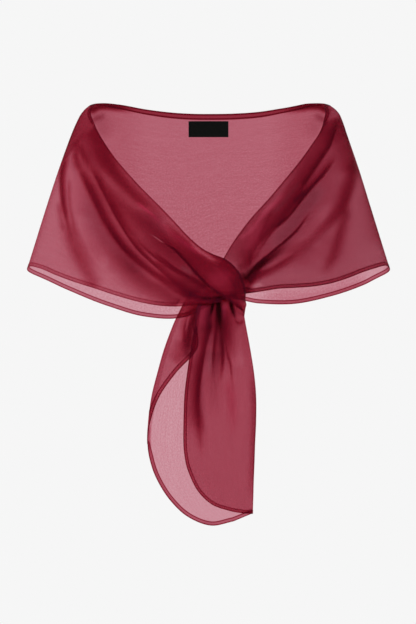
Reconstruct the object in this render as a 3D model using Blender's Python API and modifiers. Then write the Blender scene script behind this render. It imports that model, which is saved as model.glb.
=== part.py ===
"""Evening stole of sheer organza, in the form it has when it is worn.

One long narrow strip goes round the shoulders and back. Both fronts run down to a knot, the
wearer's right front crosses over as a smooth band, and the bundle under the band hangs as one
gathered tail that is folded lengthwise. Each stretch of the strip is a thin wall of its own.

Frame: metres, +Z up, the wearer faces -Y and the wearer's left is +X. The origin is midway
between the shoulders, at shoulder level. The tables below are in millimetres.
"""

import math
from bisect import bisect_right
from collections import namedtuple

import bmesh
import bpy
from mathutils import Vector

MM = 0.001

CLOTH_WALL = 1.0
LABEL_WALL = 0.8
SEAM_GAP = 0.3

# The sides, where the fronts meet the back: heights of the neck edge and of the hem.
SIDE_NECK = 12.4
SIDE_HEM = -226.0
SIDE_BAND = -40.0

# Share of the strip's width, from the neck edge, that lies in the band along the neckline.
BAND_SHARE = 0.3

# The small turn, in radians, over which the form's slope is read.
NUDGE = 0.004
CELLS_PER_ROW = 3
FRONT_CELLS_ACROSS = 20
BAND_CELLS_ACROSS = 8
BACK_CELLS_PER_ROW = 4
BACK_CELLS_ACROSS = 14
# Above 1 it crowds the back's cells towards the neck edge, where the form turns inward.
BACK_CROWDING = 1.5

# The worn form, as level rings round a general figure. Below the side hems it goes on for the
# parts of the hem that hang lower.
Ring = namedtuple("Ring", "height half_width centre front_depth back_depth")
FIGURE = (
    Ring(16.0, 140.0, 2.0, 36.0, 48.0),
    Ring(13.0, 163.0, 2.0, 46.0, 60.0),
    Ring(10.0, 174.0, 2.0, 54.0, 69.0),
    Ring(0.0, 185.5, 2.5, 67.0, 84.0),
    Ring(-12.0, 192.0, 2.0, 77.0, 92.0),
    Ring(-34.0, 200.5, 1.0, 90.0, 101.0),
    Ring(-84.0, 218.0, 0.5, 107.0, 114.0),
    Ring(-142.0, 236.5, 0.0, 120.0, 121.0),
    Ring(-200.0, 254.5, 0.0, 127.0, 126.0),
    Ring(-227.0, 263.0, 0.0, 129.0, 128.0),
    Ring(-310.0, 289.0, 0.0, 131.0, 131.0),
)

# Sections of the back, from the wearer's left side to the right one, across the strip from the
# neck edge to the hem, as seen from the front. The sides themselves are added by side_anchor.
BackSection = namedtuple("BackSection", "neck_x neck_z hem_x hem_z")
BACK = (
    BackSection(157.0, 13.0, 248.0, -237.0),
    BackSection(138.0, 11.8, 222.0, -251.0),
    BackSection(107.0, 6.0, 176.0, -267.0),
    BackSection(72.0, 0.4, 125.0, -277.5),
    BackSection(38.0, -2.8, 74.0, -276.0),
    BackSection(8.0, -3.4, 22.0, -284.0),
    BackSection(-22.0, -3.2, -36.0, -297.0),
    BackSection(-52.0, -1.5, -92.0, -296.0),
    BackSection(-87.0, 2.9, -145.0, -281.0),
    BackSection(-124.0, 10.3, -205.0, -257.0),
    BackSection(-148.0, 13.0, -243.0, -239.5),
)

# Sections of the two fronts, from the side to the knot: the neck edge, the lower edge of the
# band along the neckline, the hem, and how far the cloth stands off the figure.
FrontSection = namedtuple("FrontSection", "neck_x neck_z band_x band_z hem_x hem_z lift")
RIGHT_FRONT = (
    FrontSection(-164.0, 11.0, -199.0, -42.0, -257.5, -223.0, 0.0),
    FrontSection(-170.5, 0.0, -191.0, -48.0, -242.0, -227.0, 0.0),
    FrontSection(-165.0, -17.0, -184.0, -70.0, -221.0, -236.0, 0.0),
    FrontSection(-151.5, -42.0, -168.0, -99.0, -194.0, -246.0, 0.5),
    FrontSection(-132.0, -70.0, -147.0, -129.0, -164.0, -255.5, 1.0),
    FrontSection(-114.0, -91.0, -126.0, -149.0, -134.0, -265.5, 1.0),
    FrontSection(-93.5, -113.0, -105.0, -163.0, -106.0, -273.0, 1.5),
    FrontSection(-70.5, -136.0, -86.0, -175.0, -80.0, -278.0, 2.5),
    FrontSection(-60.0, -148.0, -66.8, -188.3, -60.0, -280.0, 4.0),
    FrontSection(-46.0, -161.5, -45.0, -199.5, -40.0, -279.5, 6.0),
    FrontSection(-31.5, -178.0, -26.0, -217.0, -21.0, -278.5, 9.0),
    FrontSection(-17.0, -192.0, -9.0, -233.0, -4.0, -277.5, 12.0),
    FrontSection(-3.0, -202.0, 7.0, -248.0, 11.0, -275.5, 14.5),
    FrontSection(10.0, -212.0, 19.0, -259.0, 26.0, -273.0, 16.0),
)
SLIT_ROW = 8
LEFT_FRONT = (
    FrontSection(166.5, 11.0, 200.0, -42.0, 257.0, -222.0, 0.0),
    FrontSection(169.0, -3.0, 190.0, -50.0, 243.0, -225.5, 0.0),
    FrontSection(161.5, -28.0, 180.0, -66.0, 223.0, -232.0, 0.0),
    FrontSection(148.5, -48.0, 167.0, -86.0, 200.0, -240.5, 0.5),
    FrontSection(129.5, -74.0, 149.0, -111.0, 177.0, -248.0, 1.0),
    FrontSection(109.5, -98.5, 129.0, -135.0, 151.0, -252.0, 1.0),
    FrontSection(85.0, -127.5, 109.0, -159.0, 126.0, -253.5, 0.5),
    FrontSection(63.5, -151.0, 91.0, -178.0, 103.0, -255.5, 0.0),
    FrontSection(45.5, -174.0, 77.0, -201.0, 83.0, -258.5, -1.0),
    FrontSection(31.5, -194.5, 64.0, -223.0, 67.0, -260.0, -2.0),
    FrontSection(23.0, -209.0, 50.0, -238.0, 55.0, -261.0, -3.0),
    FrontSection(12.0, -223.0, 34.0, -247.0, 40.0, -264.0, -3.5),
)

# Sections of the band that crosses over, from the slit where it leaves the right front, over
# the knot, round the bundle and up behind it. lift is the distance off the figure and crown
# the swell between the two edges.
BandSection = namedtuple("BandSection", "upper_x upper_z lower_x lower_z lift crown")
CROSS_BAND = (
    BandSection(-70.5, -136.0, -85.8, -174.6, 2.5, 0.0),
    BandSection(-49.5, -158.0, -66.5, -188.0, 6.5, 1.0),
    BandSection(-29.5, -180.0, -47.5, -203.0, 10.5, 2.0),
    BandSection(-9.0, -198.5, -30.0, -221.0, 15.0, 3.0),
    BandSection(6.0, -207.0, -13.0, -241.0, 19.0, 4.0),
    BandSection(23.0, -214.0, 4.0, -257.0, 21.0, 4.5),
    BandSection(38.0, -226.0, 18.0, -267.0, 21.0, 4.5),
    BandSection(48.0, -242.0, 31.0, -275.0, 19.0, 3.5),
    BandSection(53.5, -258.0, 42.0, -282.0, 15.5, 2.0),
    BandSection(55.0, -273.0, 50.5, -289.0, 8.0, 0.0),
    BandSection(53.0, -277.0, 48.5, -292.0, -3.0, 0.0),
    BandSection(41.0, -273.0, 36.0, -286.0, -9.0, 0.0),
    BandSection(24.0, -259.0, 20.0, -271.0, -10.0, 0.0),
)

# Sections of the tail, top to bottom: the hemmed edge of the front layer, the lengthwise fold,
# the outline of the back layer, the edge of the flap that is folded forward there (at the
# outline where there is none), the middle of the folded cloth from front to back, and the room
# between its outer layers.
TailSection = namedtuple(
    "TailSection", "front_x front_z fold_x fold_z left_x left_z flap_x middle room")
TAIL = (
    TailSection(-4.0, -256.0, 34.0, -260.0, -28.0, -258.0, -2.0, -132.2, 6.5),
    TailSection(-13.0, -273.0, 40.0, -277.0, -35.0, -274.0, -8.0, -133.2, 8.0),
    TailSection(-17.0, -284.0, 46.0, -288.0, -41.0, -286.0, -12.0, -134.5, 10.0),
    TailSection(-19.5, -306.0, 54.0, -308.0, -50.5, -306.0, -17.0, -135.0, 11.5),
    TailSection(-24.0, -342.0, 60.5, -343.0, -64.0, -342.0, -22.0, -134.5, 12.0),
    TailSection(-30.5, -377.0, 66.0, -378.0, -74.0, -377.0, -52.0, -134.0, 11.5),
    TailSection(-35.0, -411.0, 69.0, -412.0, -82.5, -411.0, -73.5, -133.0, 10.5),
    TailSection(-36.5, -446.0, 69.0, -447.0, -87.0, -446.0, -82.0, -132.0, 9.5),
    TailSection(-37.0, -480.0, 67.5, -481.0, -88.5, -480.0, -88.5, -131.0, 9.0),
    TailSection(-34.0, -503.0, 66.5, -511.0, -84.0, -508.0, -84.0, -130.0, 8.5),
    TailSection(-28.0, -523.0, 65.5, -536.0, -74.0, -534.0, -74.0, -129.5, 8.0),
    TailSection(-16.0, -549.0, 65.0, -556.0, -56.0, -562.0, -56.0, -129.0, 7.0),
    TailSection(5.0, -568.5, 64.5, -571.0, -30.5, -586.0, -30.5, -128.5, 6.0),
    TailSection(30.5, -577.5, 64.2, -579.0, 3.0, -599.0, 3.0, -128.0, 5.0),
    TailSection(50.0, -581.0, 64.0, -582.0, 36.0, -593.0, 36.0, -128.0, 4.0),
)
FLAP_SECTIONS = 8
TAIL_ROWS_PER_SECTION = 2
TAIL_FRONT_CELLS = 18
TAIL_BACK_CELLS = 16
# The front layer swells by this much where the room is widest, and lies flat at its free edge
# over this share of its width.
TAIL_CROWN = 3.0
TAIL_ROOM = 12.0
TAIL_EDGE_SHARE = 0.25
# Pleats of the back layer, and the shares of the tail's length over which they fade.
BACK_PLEATS = 5
BACK_PLEAT_HEIGHT = 1.6
BACK_PLEAT_FADE = (0.15, 0.5)
FLAP_CURL_CELLS = 5
FLAP_FLAT_CELLS = 5
# The flap turns at a radius of at most these shares of the room and of its own width.
FLAP_CURL_ROOM = 0.25
FLAP_CURL_WIDTH = 0.33

# Folds, each along a smooth line through four places as seen from the front. height is how
# far the crest stands out and end_share how much of that is left at its lower end.
Fold = namedtuple("Fold", "name x1 z1 x2 z2 x3 z3 x4 z4 width height end_share")
RIGHT_FOLDS = (
    Fold("arm", -209, -55, -209, -113, -197, -174, -177, -245, 6.0, 2.5, 0.2),
    Fold("deep", -190, -60, -161, -133, -110, -204, -30, -262, 8.0, 4.5, 0.25),
    Fold("crisp", -180, -64, -139, -141, -84, -206, -20, -258, 6.0, 3.5, 0.25),
    Fold("swell", -190, -120, -160, -180, -112, -232, -60, -262, 16.0, 4.0, 0.0),
    Fold("neck", -168, -70, -126, -118, -86, -150, -52, -180, 8.0, 3.0, 0.4),
)
LEFT_FOLDS = (
    Fold("neck", 181, -62, 152, -108, 101, -164, 58, -228, 7.0, 4.0, 0.3),
    Fold("second", 168, -122, 140, -152, 116, -184, 62, -232, 7.0, 3.0, 0.3),
    Fold("sweep", 206, -62, 197, -128, 148, -190, 70, -242, 10.0, 4.5, 0.2),
    Fold("arm", 200, -141, 193, -165, 186, -193, 171, -224, 9.0, 2.5, 0.1),
    Fold("low", 160, -216, 132, -226, 100, -238, 70, -248, 8.0, 2.5, 0.2),
)
# Along the band these stand in for the front's own folds from one row, and stop at another.
BAND_FOLDS_FROM = 2.0
BAND_FOLDS_TO = 7.0
BAND_FOLDS = (
    Fold("upper", -80, -158, -50, -172, -14, -208, 30, -236, 6.0, 1.6, 0.3),
    Fold("lower", -74, -172, -46, -194, -18, -222, 20, -254, 6.0, 1.6, 0.3),
)
TAIL_FOLDS = (
    Fold("edge", -16, -280, -18, -312, -20, -345, -24, -380, 4.0, 2.2, 0.2),
    Fold("first", -9, -280, -8, -330, -15, -390, -11, -470, 5.5, 3.0, 0.0),
    Fold("second", 4, -280, 5, -318, 6, -345, 7, -385, 4.0, 2.6, 0.0),
    Fold("third", 14, -280, 17, -320, 20, -350, 22, -400, 4.5, 3.0, 0.0),
    Fold("fourth", 26, -280, 27, -320, 31, -360, 35, -405, 5.0, 2.8, 0.0),
    Fold("outer", 36, -282, 40, -310, 46, -345, 50, -390, 5.0, 2.4, 0.0),
)
BACK_FOLDS = (
    Fold("left", 150, -60, 138, -120, 128, -180, 122, -262, 16.0, 3.0, 0.8),
    Fold("right", -142, -60, -134, -120, -126, -180, -118, -270, 16.0, 3.0, 0.8),
    Fold("middle", 10, -120, 4, -170, -6, -220, -12, -282, 18.0, 2.5, 0.8),
)
FOLD_STEPS = 24
FOLD_RISE = 0.25
FOLD_FALL = 0.75

LABEL_HALF_WIDTH = 29.0
LABEL_TOP = -13.0
LABEL_BOTTOM = -36.0
LABEL_CELLS = (8, 3)

Finish = namedtuple("Finish", "colour roughness metallic")
ORGANZA = Finish((0.42, 0.035, 0.075, 1.0), 0.55, 0.0)
SATIN_BLACK = Finish((0.012, 0.012, 0.013, 1.0), 0.45, 0.0)


def smooth(stops, values, at):
    """Read a smooth curve that goes through the values, which stand at the rising stops."""
    last = len(stops) - 1
    start = min(max(bisect_right(stops, at) - 1, 0), last - 1)
    width = stops[start + 1] - stops[start]
    t = min(max((at - stops[start]) / width, 0.0), 1.0)

    def slope(place):
        before, after = max(place - 1, 0), min(place + 1, last)
        return (values[after] - values[before]) * (width / (stops[after] - stops[before]))

    return (values[start] * (2 * t**3 - 3 * t**2 + 1) + slope(start) * (t**3 - 2 * t**2 + t)
            + values[start + 1] * (3 * t**2 - 2 * t**3) + slope(start + 1) * (t**3 - t**2))


def step_between(low, high, value):
    """Rise softly from 0 at low to 1 at high."""
    t = min(max((value - low) / (high - low), 0.0), 1.0)
    return t * t * (3 - 2 * t)


def figure(height):
    """The ring of the worn form at a height."""
    rings = FIGURE[::-1]
    stops = [ring.height for ring in rings]
    return Ring(*(smooth(stops, [ring[column] for ring in rings], height)
                  for column in range(len(Ring._fields))))


def angle_at(x, height, behind=False):
    """The angle round the figure, from its front, of a place seen from the front."""
    ring = figure(height)
    angle = math.asin(min(max((x - ring.centre) / ring.half_width, -1.0), 1.0))
    return math.pi - angle if behind else angle


def on_figure(angle, height, lift=0.0):
    """A place on the worn form, moved straight out from it by lift."""

    def on_form(turn, level):
        ring = figure(level)
        depth = ring.front_depth if math.cos(turn) > 0 else ring.back_depth
        return Vector((ring.centre + ring.half_width * math.sin(turn),
                       -depth * math.cos(turn), level))

    around = on_form(angle + NUDGE, height) - on_form(angle - NUDGE, height)
    upward = on_form(angle, height + 1.0) - on_form(angle, height - 1.0)
    return on_form(angle, height) + around.cross(upward).normalized() * lift


def fold_height(folds, x, z):
    """How far the folds raise the cloth at a place seen from the front."""
    total = 0.0
    for fold in folds:
        line = (Vector((fold.x1, fold.z1)), Vector((fold.x2, fold.z2)),
                Vector((fold.x3, fold.z3)), Vector((fold.x4, fold.z4)))
        nearest, along = min(
            ((smooth((0, 1, 2, 3), line, 3 * step / FOLD_STEPS) - Vector((x, z))).length,
             step / FOLD_STEPS) for step in range(FOLD_STEPS + 1))
        fade = step_between(0.0, FOLD_RISE, along)
        fade *= 1.0 - (1.0 - fold.end_share) * step_between(FOLD_FALL, 1.0, along)
        total += fold.height * fade * math.exp(-(nearest / fold.width) ** 2)
    return total


def wall(name, cells_along, cells_across, place, thickness, finish, keep=None):
    """A thin wall: a grid moved on to its form by place(along, across), then given thickness.

    keep(along, across) says which cells stay, by the share of their middles.
    """
    mesh = bpy.data.meshes.new(name)
    bm = bmesh.new()
    bmesh.ops.create_grid(bm, x_segments=cells_along, y_segments=cells_across, size=0.5)
    if keep:
        spare = [face for face in bm.faces
                 if not keep(*(face.calc_center_median().xy + Vector((0.5, 0.5))))]
        bmesh.ops.delete(bm, geom=spare, context="FACES")
    for vert in bm.verts:
        vert.co = place(vert.co.x + 0.5, vert.co.y + 0.5) * MM
    bm.to_mesh(mesh)
    bm.free()
    mesh.shade_smooth()
    piece = bpy.data.objects.new(name, mesh)
    solid = piece.modifiers.new("Thickness", "SOLIDIFY")
    solid.thickness = thickness * MM
    solid.offset = 0.0
    mesh.materials.append(material(name, finish))
    return piece


def material(name, finish):
    """A Principled material from a finish."""
    made = bpy.data.materials.new(name)
    made.use_nodes = True
    shader = made.node_tree.nodes["Principled BSDF"]
    shader.inputs["Base Color"].default_value = finish.colour
    shader.inputs["Roughness"].default_value = finish.roughness
    shader.inputs["Metallic"].default_value = finish.metallic
    return made


def seen(place):
    """Where a place lies as seen from the front."""
    return place.x, place.z


def side_anchor(side, height, turn=-1):
    """Angle and height of a place at a side, half a seam's gap in front of it or behind it."""
    quarter = math.pi / 2 + turn * SEAM_GAP / 2 / figure(height).half_width
    return Vector((side * quarter, height))


def front_anchors(rows, side):
    """Angles and heights of the neck, band and hem along a front, and its lifts."""
    neck = [side_anchor(side, SIDE_NECK)]
    band = [side_anchor(side, SIDE_BAND)]
    hem = [side_anchor(side, SIDE_HEM)]
    for row in rows:
        neck.append(Vector((angle_at(row.neck_x, row.neck_z), row.neck_z)))
        band.append(Vector((angle_at(row.band_x, row.band_z), row.band_z)))
        hem.append(Vector((angle_at(row.hem_x, row.hem_z), row.hem_z)))
    return neck, band, hem, [0.0] + [row.lift for row in rows]


def front_place(rows, side, folds):
    """The function that places a front's cloth by its shares along and across the strip."""
    neck, band, hem, lifts = front_anchors(rows, side)
    stops = list(range(len(neck)))

    def place(along, across):
        at = along * stops[-1]
        middle = smooth(stops, band, at)
        if across < BAND_SHARE:
            angle, height = smooth(stops, neck, at).lerp(middle, across / BAND_SHARE)
        else:
            down = (across - BAND_SHARE) / (1.0 - BAND_SHARE)
            angle, height = middle.lerp(smooth(stops, hem, at), down)
        lift = smooth(stops, lifts, at)
        fold = fold_height(folds, *seen(on_figure(angle, height, lift)))
        return on_figure(angle, height, lift + fold * step_between(0.0, 1.0, at))

    return place


def right_front():
    """The wearer's right front; past the slit only its lower part goes on, under the band."""
    rows = len(RIGHT_FRONT)

    def keep(along, across):
        return along < SLIT_ROW / rows or across > BAND_SHARE

    return wall("right_front", CELLS_PER_ROW * rows, FRONT_CELLS_ACROSS,
                front_place(RIGHT_FRONT, -1, RIGHT_FOLDS), CLOTH_WALL, ORGANZA, keep)


def left_front():
    """The wearer's left front, whose bundle ends under the band."""
    return wall("left_front", CELLS_PER_ROW * len(LEFT_FRONT), FRONT_CELLS_ACROSS,
                front_place(LEFT_FRONT, 1, LEFT_FOLDS), CLOTH_WALL, ORGANZA)


def back_panel():
    """The stretch round the back, from the wearer's left side to the right one."""
    neck = [side_anchor(1, SIDE_NECK, 1)]
    hem = [side_anchor(1, SIDE_HEM, 1)]
    for row in BACK:
        neck.append(Vector((angle_at(row.neck_x, row.neck_z, True), row.neck_z)))
        hem.append(Vector((angle_at(row.hem_x, row.hem_z, True), row.hem_z)))
    whole_turn = Vector((2 * math.pi, 0.0))
    neck.append(side_anchor(-1, SIDE_NECK, 1) + whole_turn)
    hem.append(side_anchor(-1, SIDE_HEM, 1) + whole_turn)
    stops = list(range(len(neck)))

    def place(along, across):
        at = along * stops[-1]
        down = across ** BACK_CROWDING
        angle, height = smooth(stops, neck, at).lerp(smooth(stops, hem, at), down)
        raised = fold_height(BACK_FOLDS, *seen(on_figure(angle, height)))
        return on_figure(angle, height, raised)

    return wall("back_panel", BACK_CELLS_PER_ROW * len(BACK), BACK_CELLS_ACROSS, place,
                CLOTH_WALL, ORGANZA)


def cross_band():
    """The upper part of the right front, over the knot and round the bundle."""
    upper = [Vector((angle_at(row.upper_x, row.upper_z), row.upper_z)) for row in CROSS_BAND]
    lower = [Vector((angle_at(row.lower_x, row.lower_z), row.lower_z)) for row in CROSS_BAND]
    lifts = [row.lift for row in CROSS_BAND]
    crowns = [row.crown for row in CROSS_BAND]
    stops = list(range(len(CROSS_BAND)))
    start = SEAM_GAP / (CROSS_BAND[1].upper_x - CROSS_BAND[0].upper_x)

    def place(along, across):
        at = start + (stops[-1] - start) * along
        angle, height = smooth(stops, upper, at).lerp(smooth(stops, lower, at), across)
        lift = smooth(stops, lifts, at)
        left_behind = 1.0 - step_between(0.0, BAND_FOLDS_FROM, at)
        spot = seen(on_figure(angle, height, lift))
        lift += smooth(stops, crowns, at) * math.sin(math.pi * across)
        lift += fold_height(RIGHT_FOLDS, *spot) * left_behind
        if at < BAND_FOLDS_TO:
            lift += fold_height(BAND_FOLDS, *spot) * (1.0 - left_behind)
        return on_figure(angle, height, lift)

    return wall("cross_band", CELLS_PER_ROW * len(CROSS_BAND), BAND_CELLS_ACROSS, place,
                CLOTH_WALL, ORGANZA)


def rows_at(rows, share):
    """The section a share of the way along a table, with every column read smoothly."""
    stops = list(range(len(rows)))
    return type(rows[0])(*(smooth(stops, [row[column] for row in rows], stops[-1] * share)
                           for column in range(len(rows[0]))))


def flap_curl(section):
    """The radius at which the flap turns forward round the back layer, 0 below the flap."""
    width = section.flap_x - section.left_x
    return min(FLAP_CURL_ROOM * section.room, FLAP_CURL_WIDTH * width)


def arc_share(straight, radius):
    """The share of a straight run followed by a quarter turn that is straight."""
    return straight / (straight + radius * math.pi / 2)


def tail_place(section, across):
    """A place on the folded tail: front layer up to 0, round the fold, back layer to 1."""
    half = section.room / 2
    turn = Vector((section.fold_x - half, section.middle, section.fold_z))
    if across < 0:
        end = Vector((section.front_x, section.middle - half, section.front_z))
    else:
        end = Vector((section.left_x + flap_curl(section), section.middle + half,
                      section.left_z))
    start = turn + Vector((0.0, math.copysign(half, across), 0.0))
    flat = arc_share((end - start).length, half)
    share = 1.0 - abs(across)
    if share < flat:
        return end.lerp(start, share / flat)
    bend = math.pi / 2 * (1.0 - (share - flat) / (1.0 - flat))
    return turn + Vector((math.cos(bend), math.copysign(math.sin(bend), across), 0.0)) * half


def tail():
    """The hanging end: front layer, lengthwise fold and back layer."""
    rows = TAIL_ROWS_PER_SECTION * (len(TAIL) - 1)
    cells = TAIL_FRONT_CELLS + TAIL_BACK_CELLS

    def place(along, across):
        section = rows_at(TAIL, along)
        cell = round(across * cells) - TAIL_FRONT_CELLS
        layer = TAIL_FRONT_CELLS if cell < 0 else TAIL_BACK_CELLS
        spot = tail_place(section, cell / layer)
        share = 1.0 - abs(cell) / layer
        if cell < 0:
            loose = min(1.0, (1.0 - share) / TAIL_EDGE_SHARE)
            swell = TAIL_CROWN * math.sin(math.pi * share) * section.room / TAIL_ROOM
            spot.y -= loose * (swell + fold_height(TAIL_FOLDS, *seen(spot)))
        else:
            fade = (1.0 - step_between(*BACK_PLEAT_FADE, along)) * math.sin(math.pi * share)
            wave = math.sin(math.pi * BACK_PLEATS * share) ** 2
            spot.y += BACK_PLEAT_HEIGHT * fade * wave
        return spot

    return wall("tail", rows, cells, place, CLOTH_WALL, ORGANZA)


def tail_flap():
    """The flap of the back layer that is folded forward, with its hemmed edge."""
    rows = TAIL_ROWS_PER_SECTION * (FLAP_SECTIONS - 1)
    cells = FLAP_CURL_CELLS + FLAP_FLAT_CELLS

    def place(along, across):
        section = rows_at(TAIL, along * (FLAP_SECTIONS - 1) / (len(TAIL) - 1))
        curl = flap_curl(section)
        centre = Vector((section.left_x + curl, section.middle + section.room / 2 - curl,
                         section.left_z))
        cell = round(across * cells)
        if cell <= FLAP_CURL_CELLS:
            clear = SEAM_GAP / curl
            turn = math.pi / 2 + clear + (math.pi - clear) * cell / FLAP_CURL_CELLS
            return centre + Vector((math.cos(turn), math.sin(turn), 0.0)) * curl
        share = (cell - FLAP_CURL_CELLS) / FLAP_FLAT_CELLS
        return centre + Vector(((section.flap_x - centre.x) * share, -curl, 0.0))

    return wall("tail_flap", rows, cells, place, CLOTH_WALL, ORGANZA)


def label():
    """The woven label, which lies on the inner face of the back below the neck edge."""
    sunk = -(CLOTH_WALL / 2 + SEAM_GAP + LABEL_WALL / 2)

    def place(along, across):
        height = LABEL_TOP + (LABEL_BOTTOM - LABEL_TOP) * across
        x = LABEL_HALF_WIDTH * (2 * along - 1)
        return on_figure(angle_at(x, height, True), height, sunk)

    return wall("label", *LABEL_CELLS, place, LABEL_WALL, SATIN_BLACK)


def main():
    """Build the stole in its own collection."""
    for old in list(bpy.data.objects):
        bpy.data.objects.remove(old, do_unlink=True)
    stole = bpy.data.collections.new("evening_stole")
    bpy.context.scene.collection.children.link(stole)
    for build in (back_panel, right_front, left_front, cross_band, tail, tail_flap, label):
        stole.objects.link(build())


main()
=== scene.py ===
"""Looks of the evening stole: sheer organza sheets with their folds and hems, and the label.

Frame: metres, +Z up, the wearer faces -Y and the wearer's left is +X. Tables are in millimetres.
Every sheet is a fine grid laid on the same worn form as its solid, raised along its folds and
closed to a thin shell. Its "layers_and_shading" attribute says how many layers of cloth a place
stands for, with painted shade and painted highlights added in.
"""

import logging
import math
from dataclasses import dataclass
from enum import Enum

import bmesh
import bpy
import numpy as np
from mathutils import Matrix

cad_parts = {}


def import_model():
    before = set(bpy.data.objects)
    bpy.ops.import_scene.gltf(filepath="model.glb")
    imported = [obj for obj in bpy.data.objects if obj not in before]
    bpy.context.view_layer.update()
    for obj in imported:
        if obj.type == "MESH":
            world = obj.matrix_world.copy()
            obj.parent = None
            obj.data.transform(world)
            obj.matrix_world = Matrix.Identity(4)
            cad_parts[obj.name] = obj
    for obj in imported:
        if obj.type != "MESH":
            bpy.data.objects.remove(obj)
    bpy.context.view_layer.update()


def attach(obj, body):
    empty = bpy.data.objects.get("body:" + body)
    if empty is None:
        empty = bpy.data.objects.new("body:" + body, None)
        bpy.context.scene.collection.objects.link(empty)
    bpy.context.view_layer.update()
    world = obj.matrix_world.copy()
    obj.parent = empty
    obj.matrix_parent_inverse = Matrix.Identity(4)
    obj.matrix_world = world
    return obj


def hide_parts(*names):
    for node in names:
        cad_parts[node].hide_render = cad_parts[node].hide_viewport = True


MM = 0.001
LOG = logging.getLogger("evening_stole")

Array = np.ndarray
Points = tuple[tuple[float, float], ...]
Colour = tuple[float, float, float, float]

# Layers of cloth: the fewest in a front or the tail's front layer, the fewest where cloth is
# pressed under the band, and what is added where it turns away round a side of the form, with
# how softly that dies away from the side.
BARE_LAYERS = 0.5
PRESSED_LAYERS = 0.3
SIDE_LAYERS = 0.45
SIDE_SOFTNESS = 0.026

# How far a crease stands out for each layer that it adds, and its limits, in millimetres.
LAYER_LIFT = 0.6
LEAST_LIFT = -0.8
MOST_LIFT = 1.2

# Where every stretch meets the next one at a side: the heights of its lines.
SIDE_NECK = 12.4
SIDE_HEM = -226.0
SIDE_BAND = -40.0

# Each of a shell's two faces holds half of what its cloth holds back.
FACE_SHARE = 0.5

# How many points stand for an edge when distances from it are measured, and a distance in
# millimetres that is past every hem.
EDGE_POINTS = 161
FAR_FROM_EDGE = 99.0

# Allowances: how far a row of the grid may lie from its share, and the least square of a leg.
ROW_SLIP = 1e-7
TINY = 1e-9


class Side(Enum):
    """A side of the wearer, as the sign of its X."""

    LEFT = 1
    RIGHT = -1


class Hold(Enum):
    """How a sheet is held."""

    DRAPED = "draped"
    HUNG = "hung"


def flow(stops: Array, values: Array, at: Array) -> Array:
    """Read a smooth curve that goes through rows of values.

    Args:
        stops: Rising places of the rows.
        values: One row of values for each stop.
        at: Places to read.

    Returns:
        One row of values for each place read.
    """
    stops, values = np.asarray(stops, float), np.asarray(values, float)
    last = len(stops) - 1
    start = np.clip(np.searchsorted(stops, at, side="right") - 1, 0, last - 1)
    width = stops[start + 1] - stops[start]
    t = np.clip((at - stops[start]) / width, 0.0, 1.0)[:, None]
    order = np.arange(last + 1)
    before, after = np.maximum(order - 1, 0), np.minimum(order + 1, last)
    slope = (values[after] - values[before]) / (stops[after] - stops[before])[:, None]
    first, second = slope[start] * width[:, None], slope[start + 1] * width[:, None]
    return (values[start] * (2 * t**3 - 3 * t**2 + 1) + first * (t**3 - 2 * t**2 + t)
            + values[start + 1] * (3 * t**2 - 2 * t**3) + second * (t**3 - t**2))


def rise(low: float, high: float, value: Array) -> Array:
    """Rise softly from 0 at low to 1 at high."""
    t = np.clip((value - low) / (high - low), 0.0, 1.0)
    return t * t * (3 - 2 * t)


def mixed(share: Array, first: Array, second: Array) -> Array:
    """Mix rows of two tables by a share of the second."""
    return first + (second - first) * share[:, None]


def rows_of(*columns: Array) -> Array:
    """Put columns side by side, so that each place has a row."""
    return np.stack(columns, axis=1)


def added(name: str, data: bpy.types.ID) -> bpy.types.Object:
    """Make an object of some data and put it in the scene."""
    made = bpy.data.objects.new(name, data)
    bpy.context.scene.collection.objects.link(made)
    return made


@dataclass(frozen=True)
class Ring:
    """A level ring of the worn form."""

    height: float
    half_width: float
    centre: float
    front_depth: float
    back_depth: float


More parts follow.
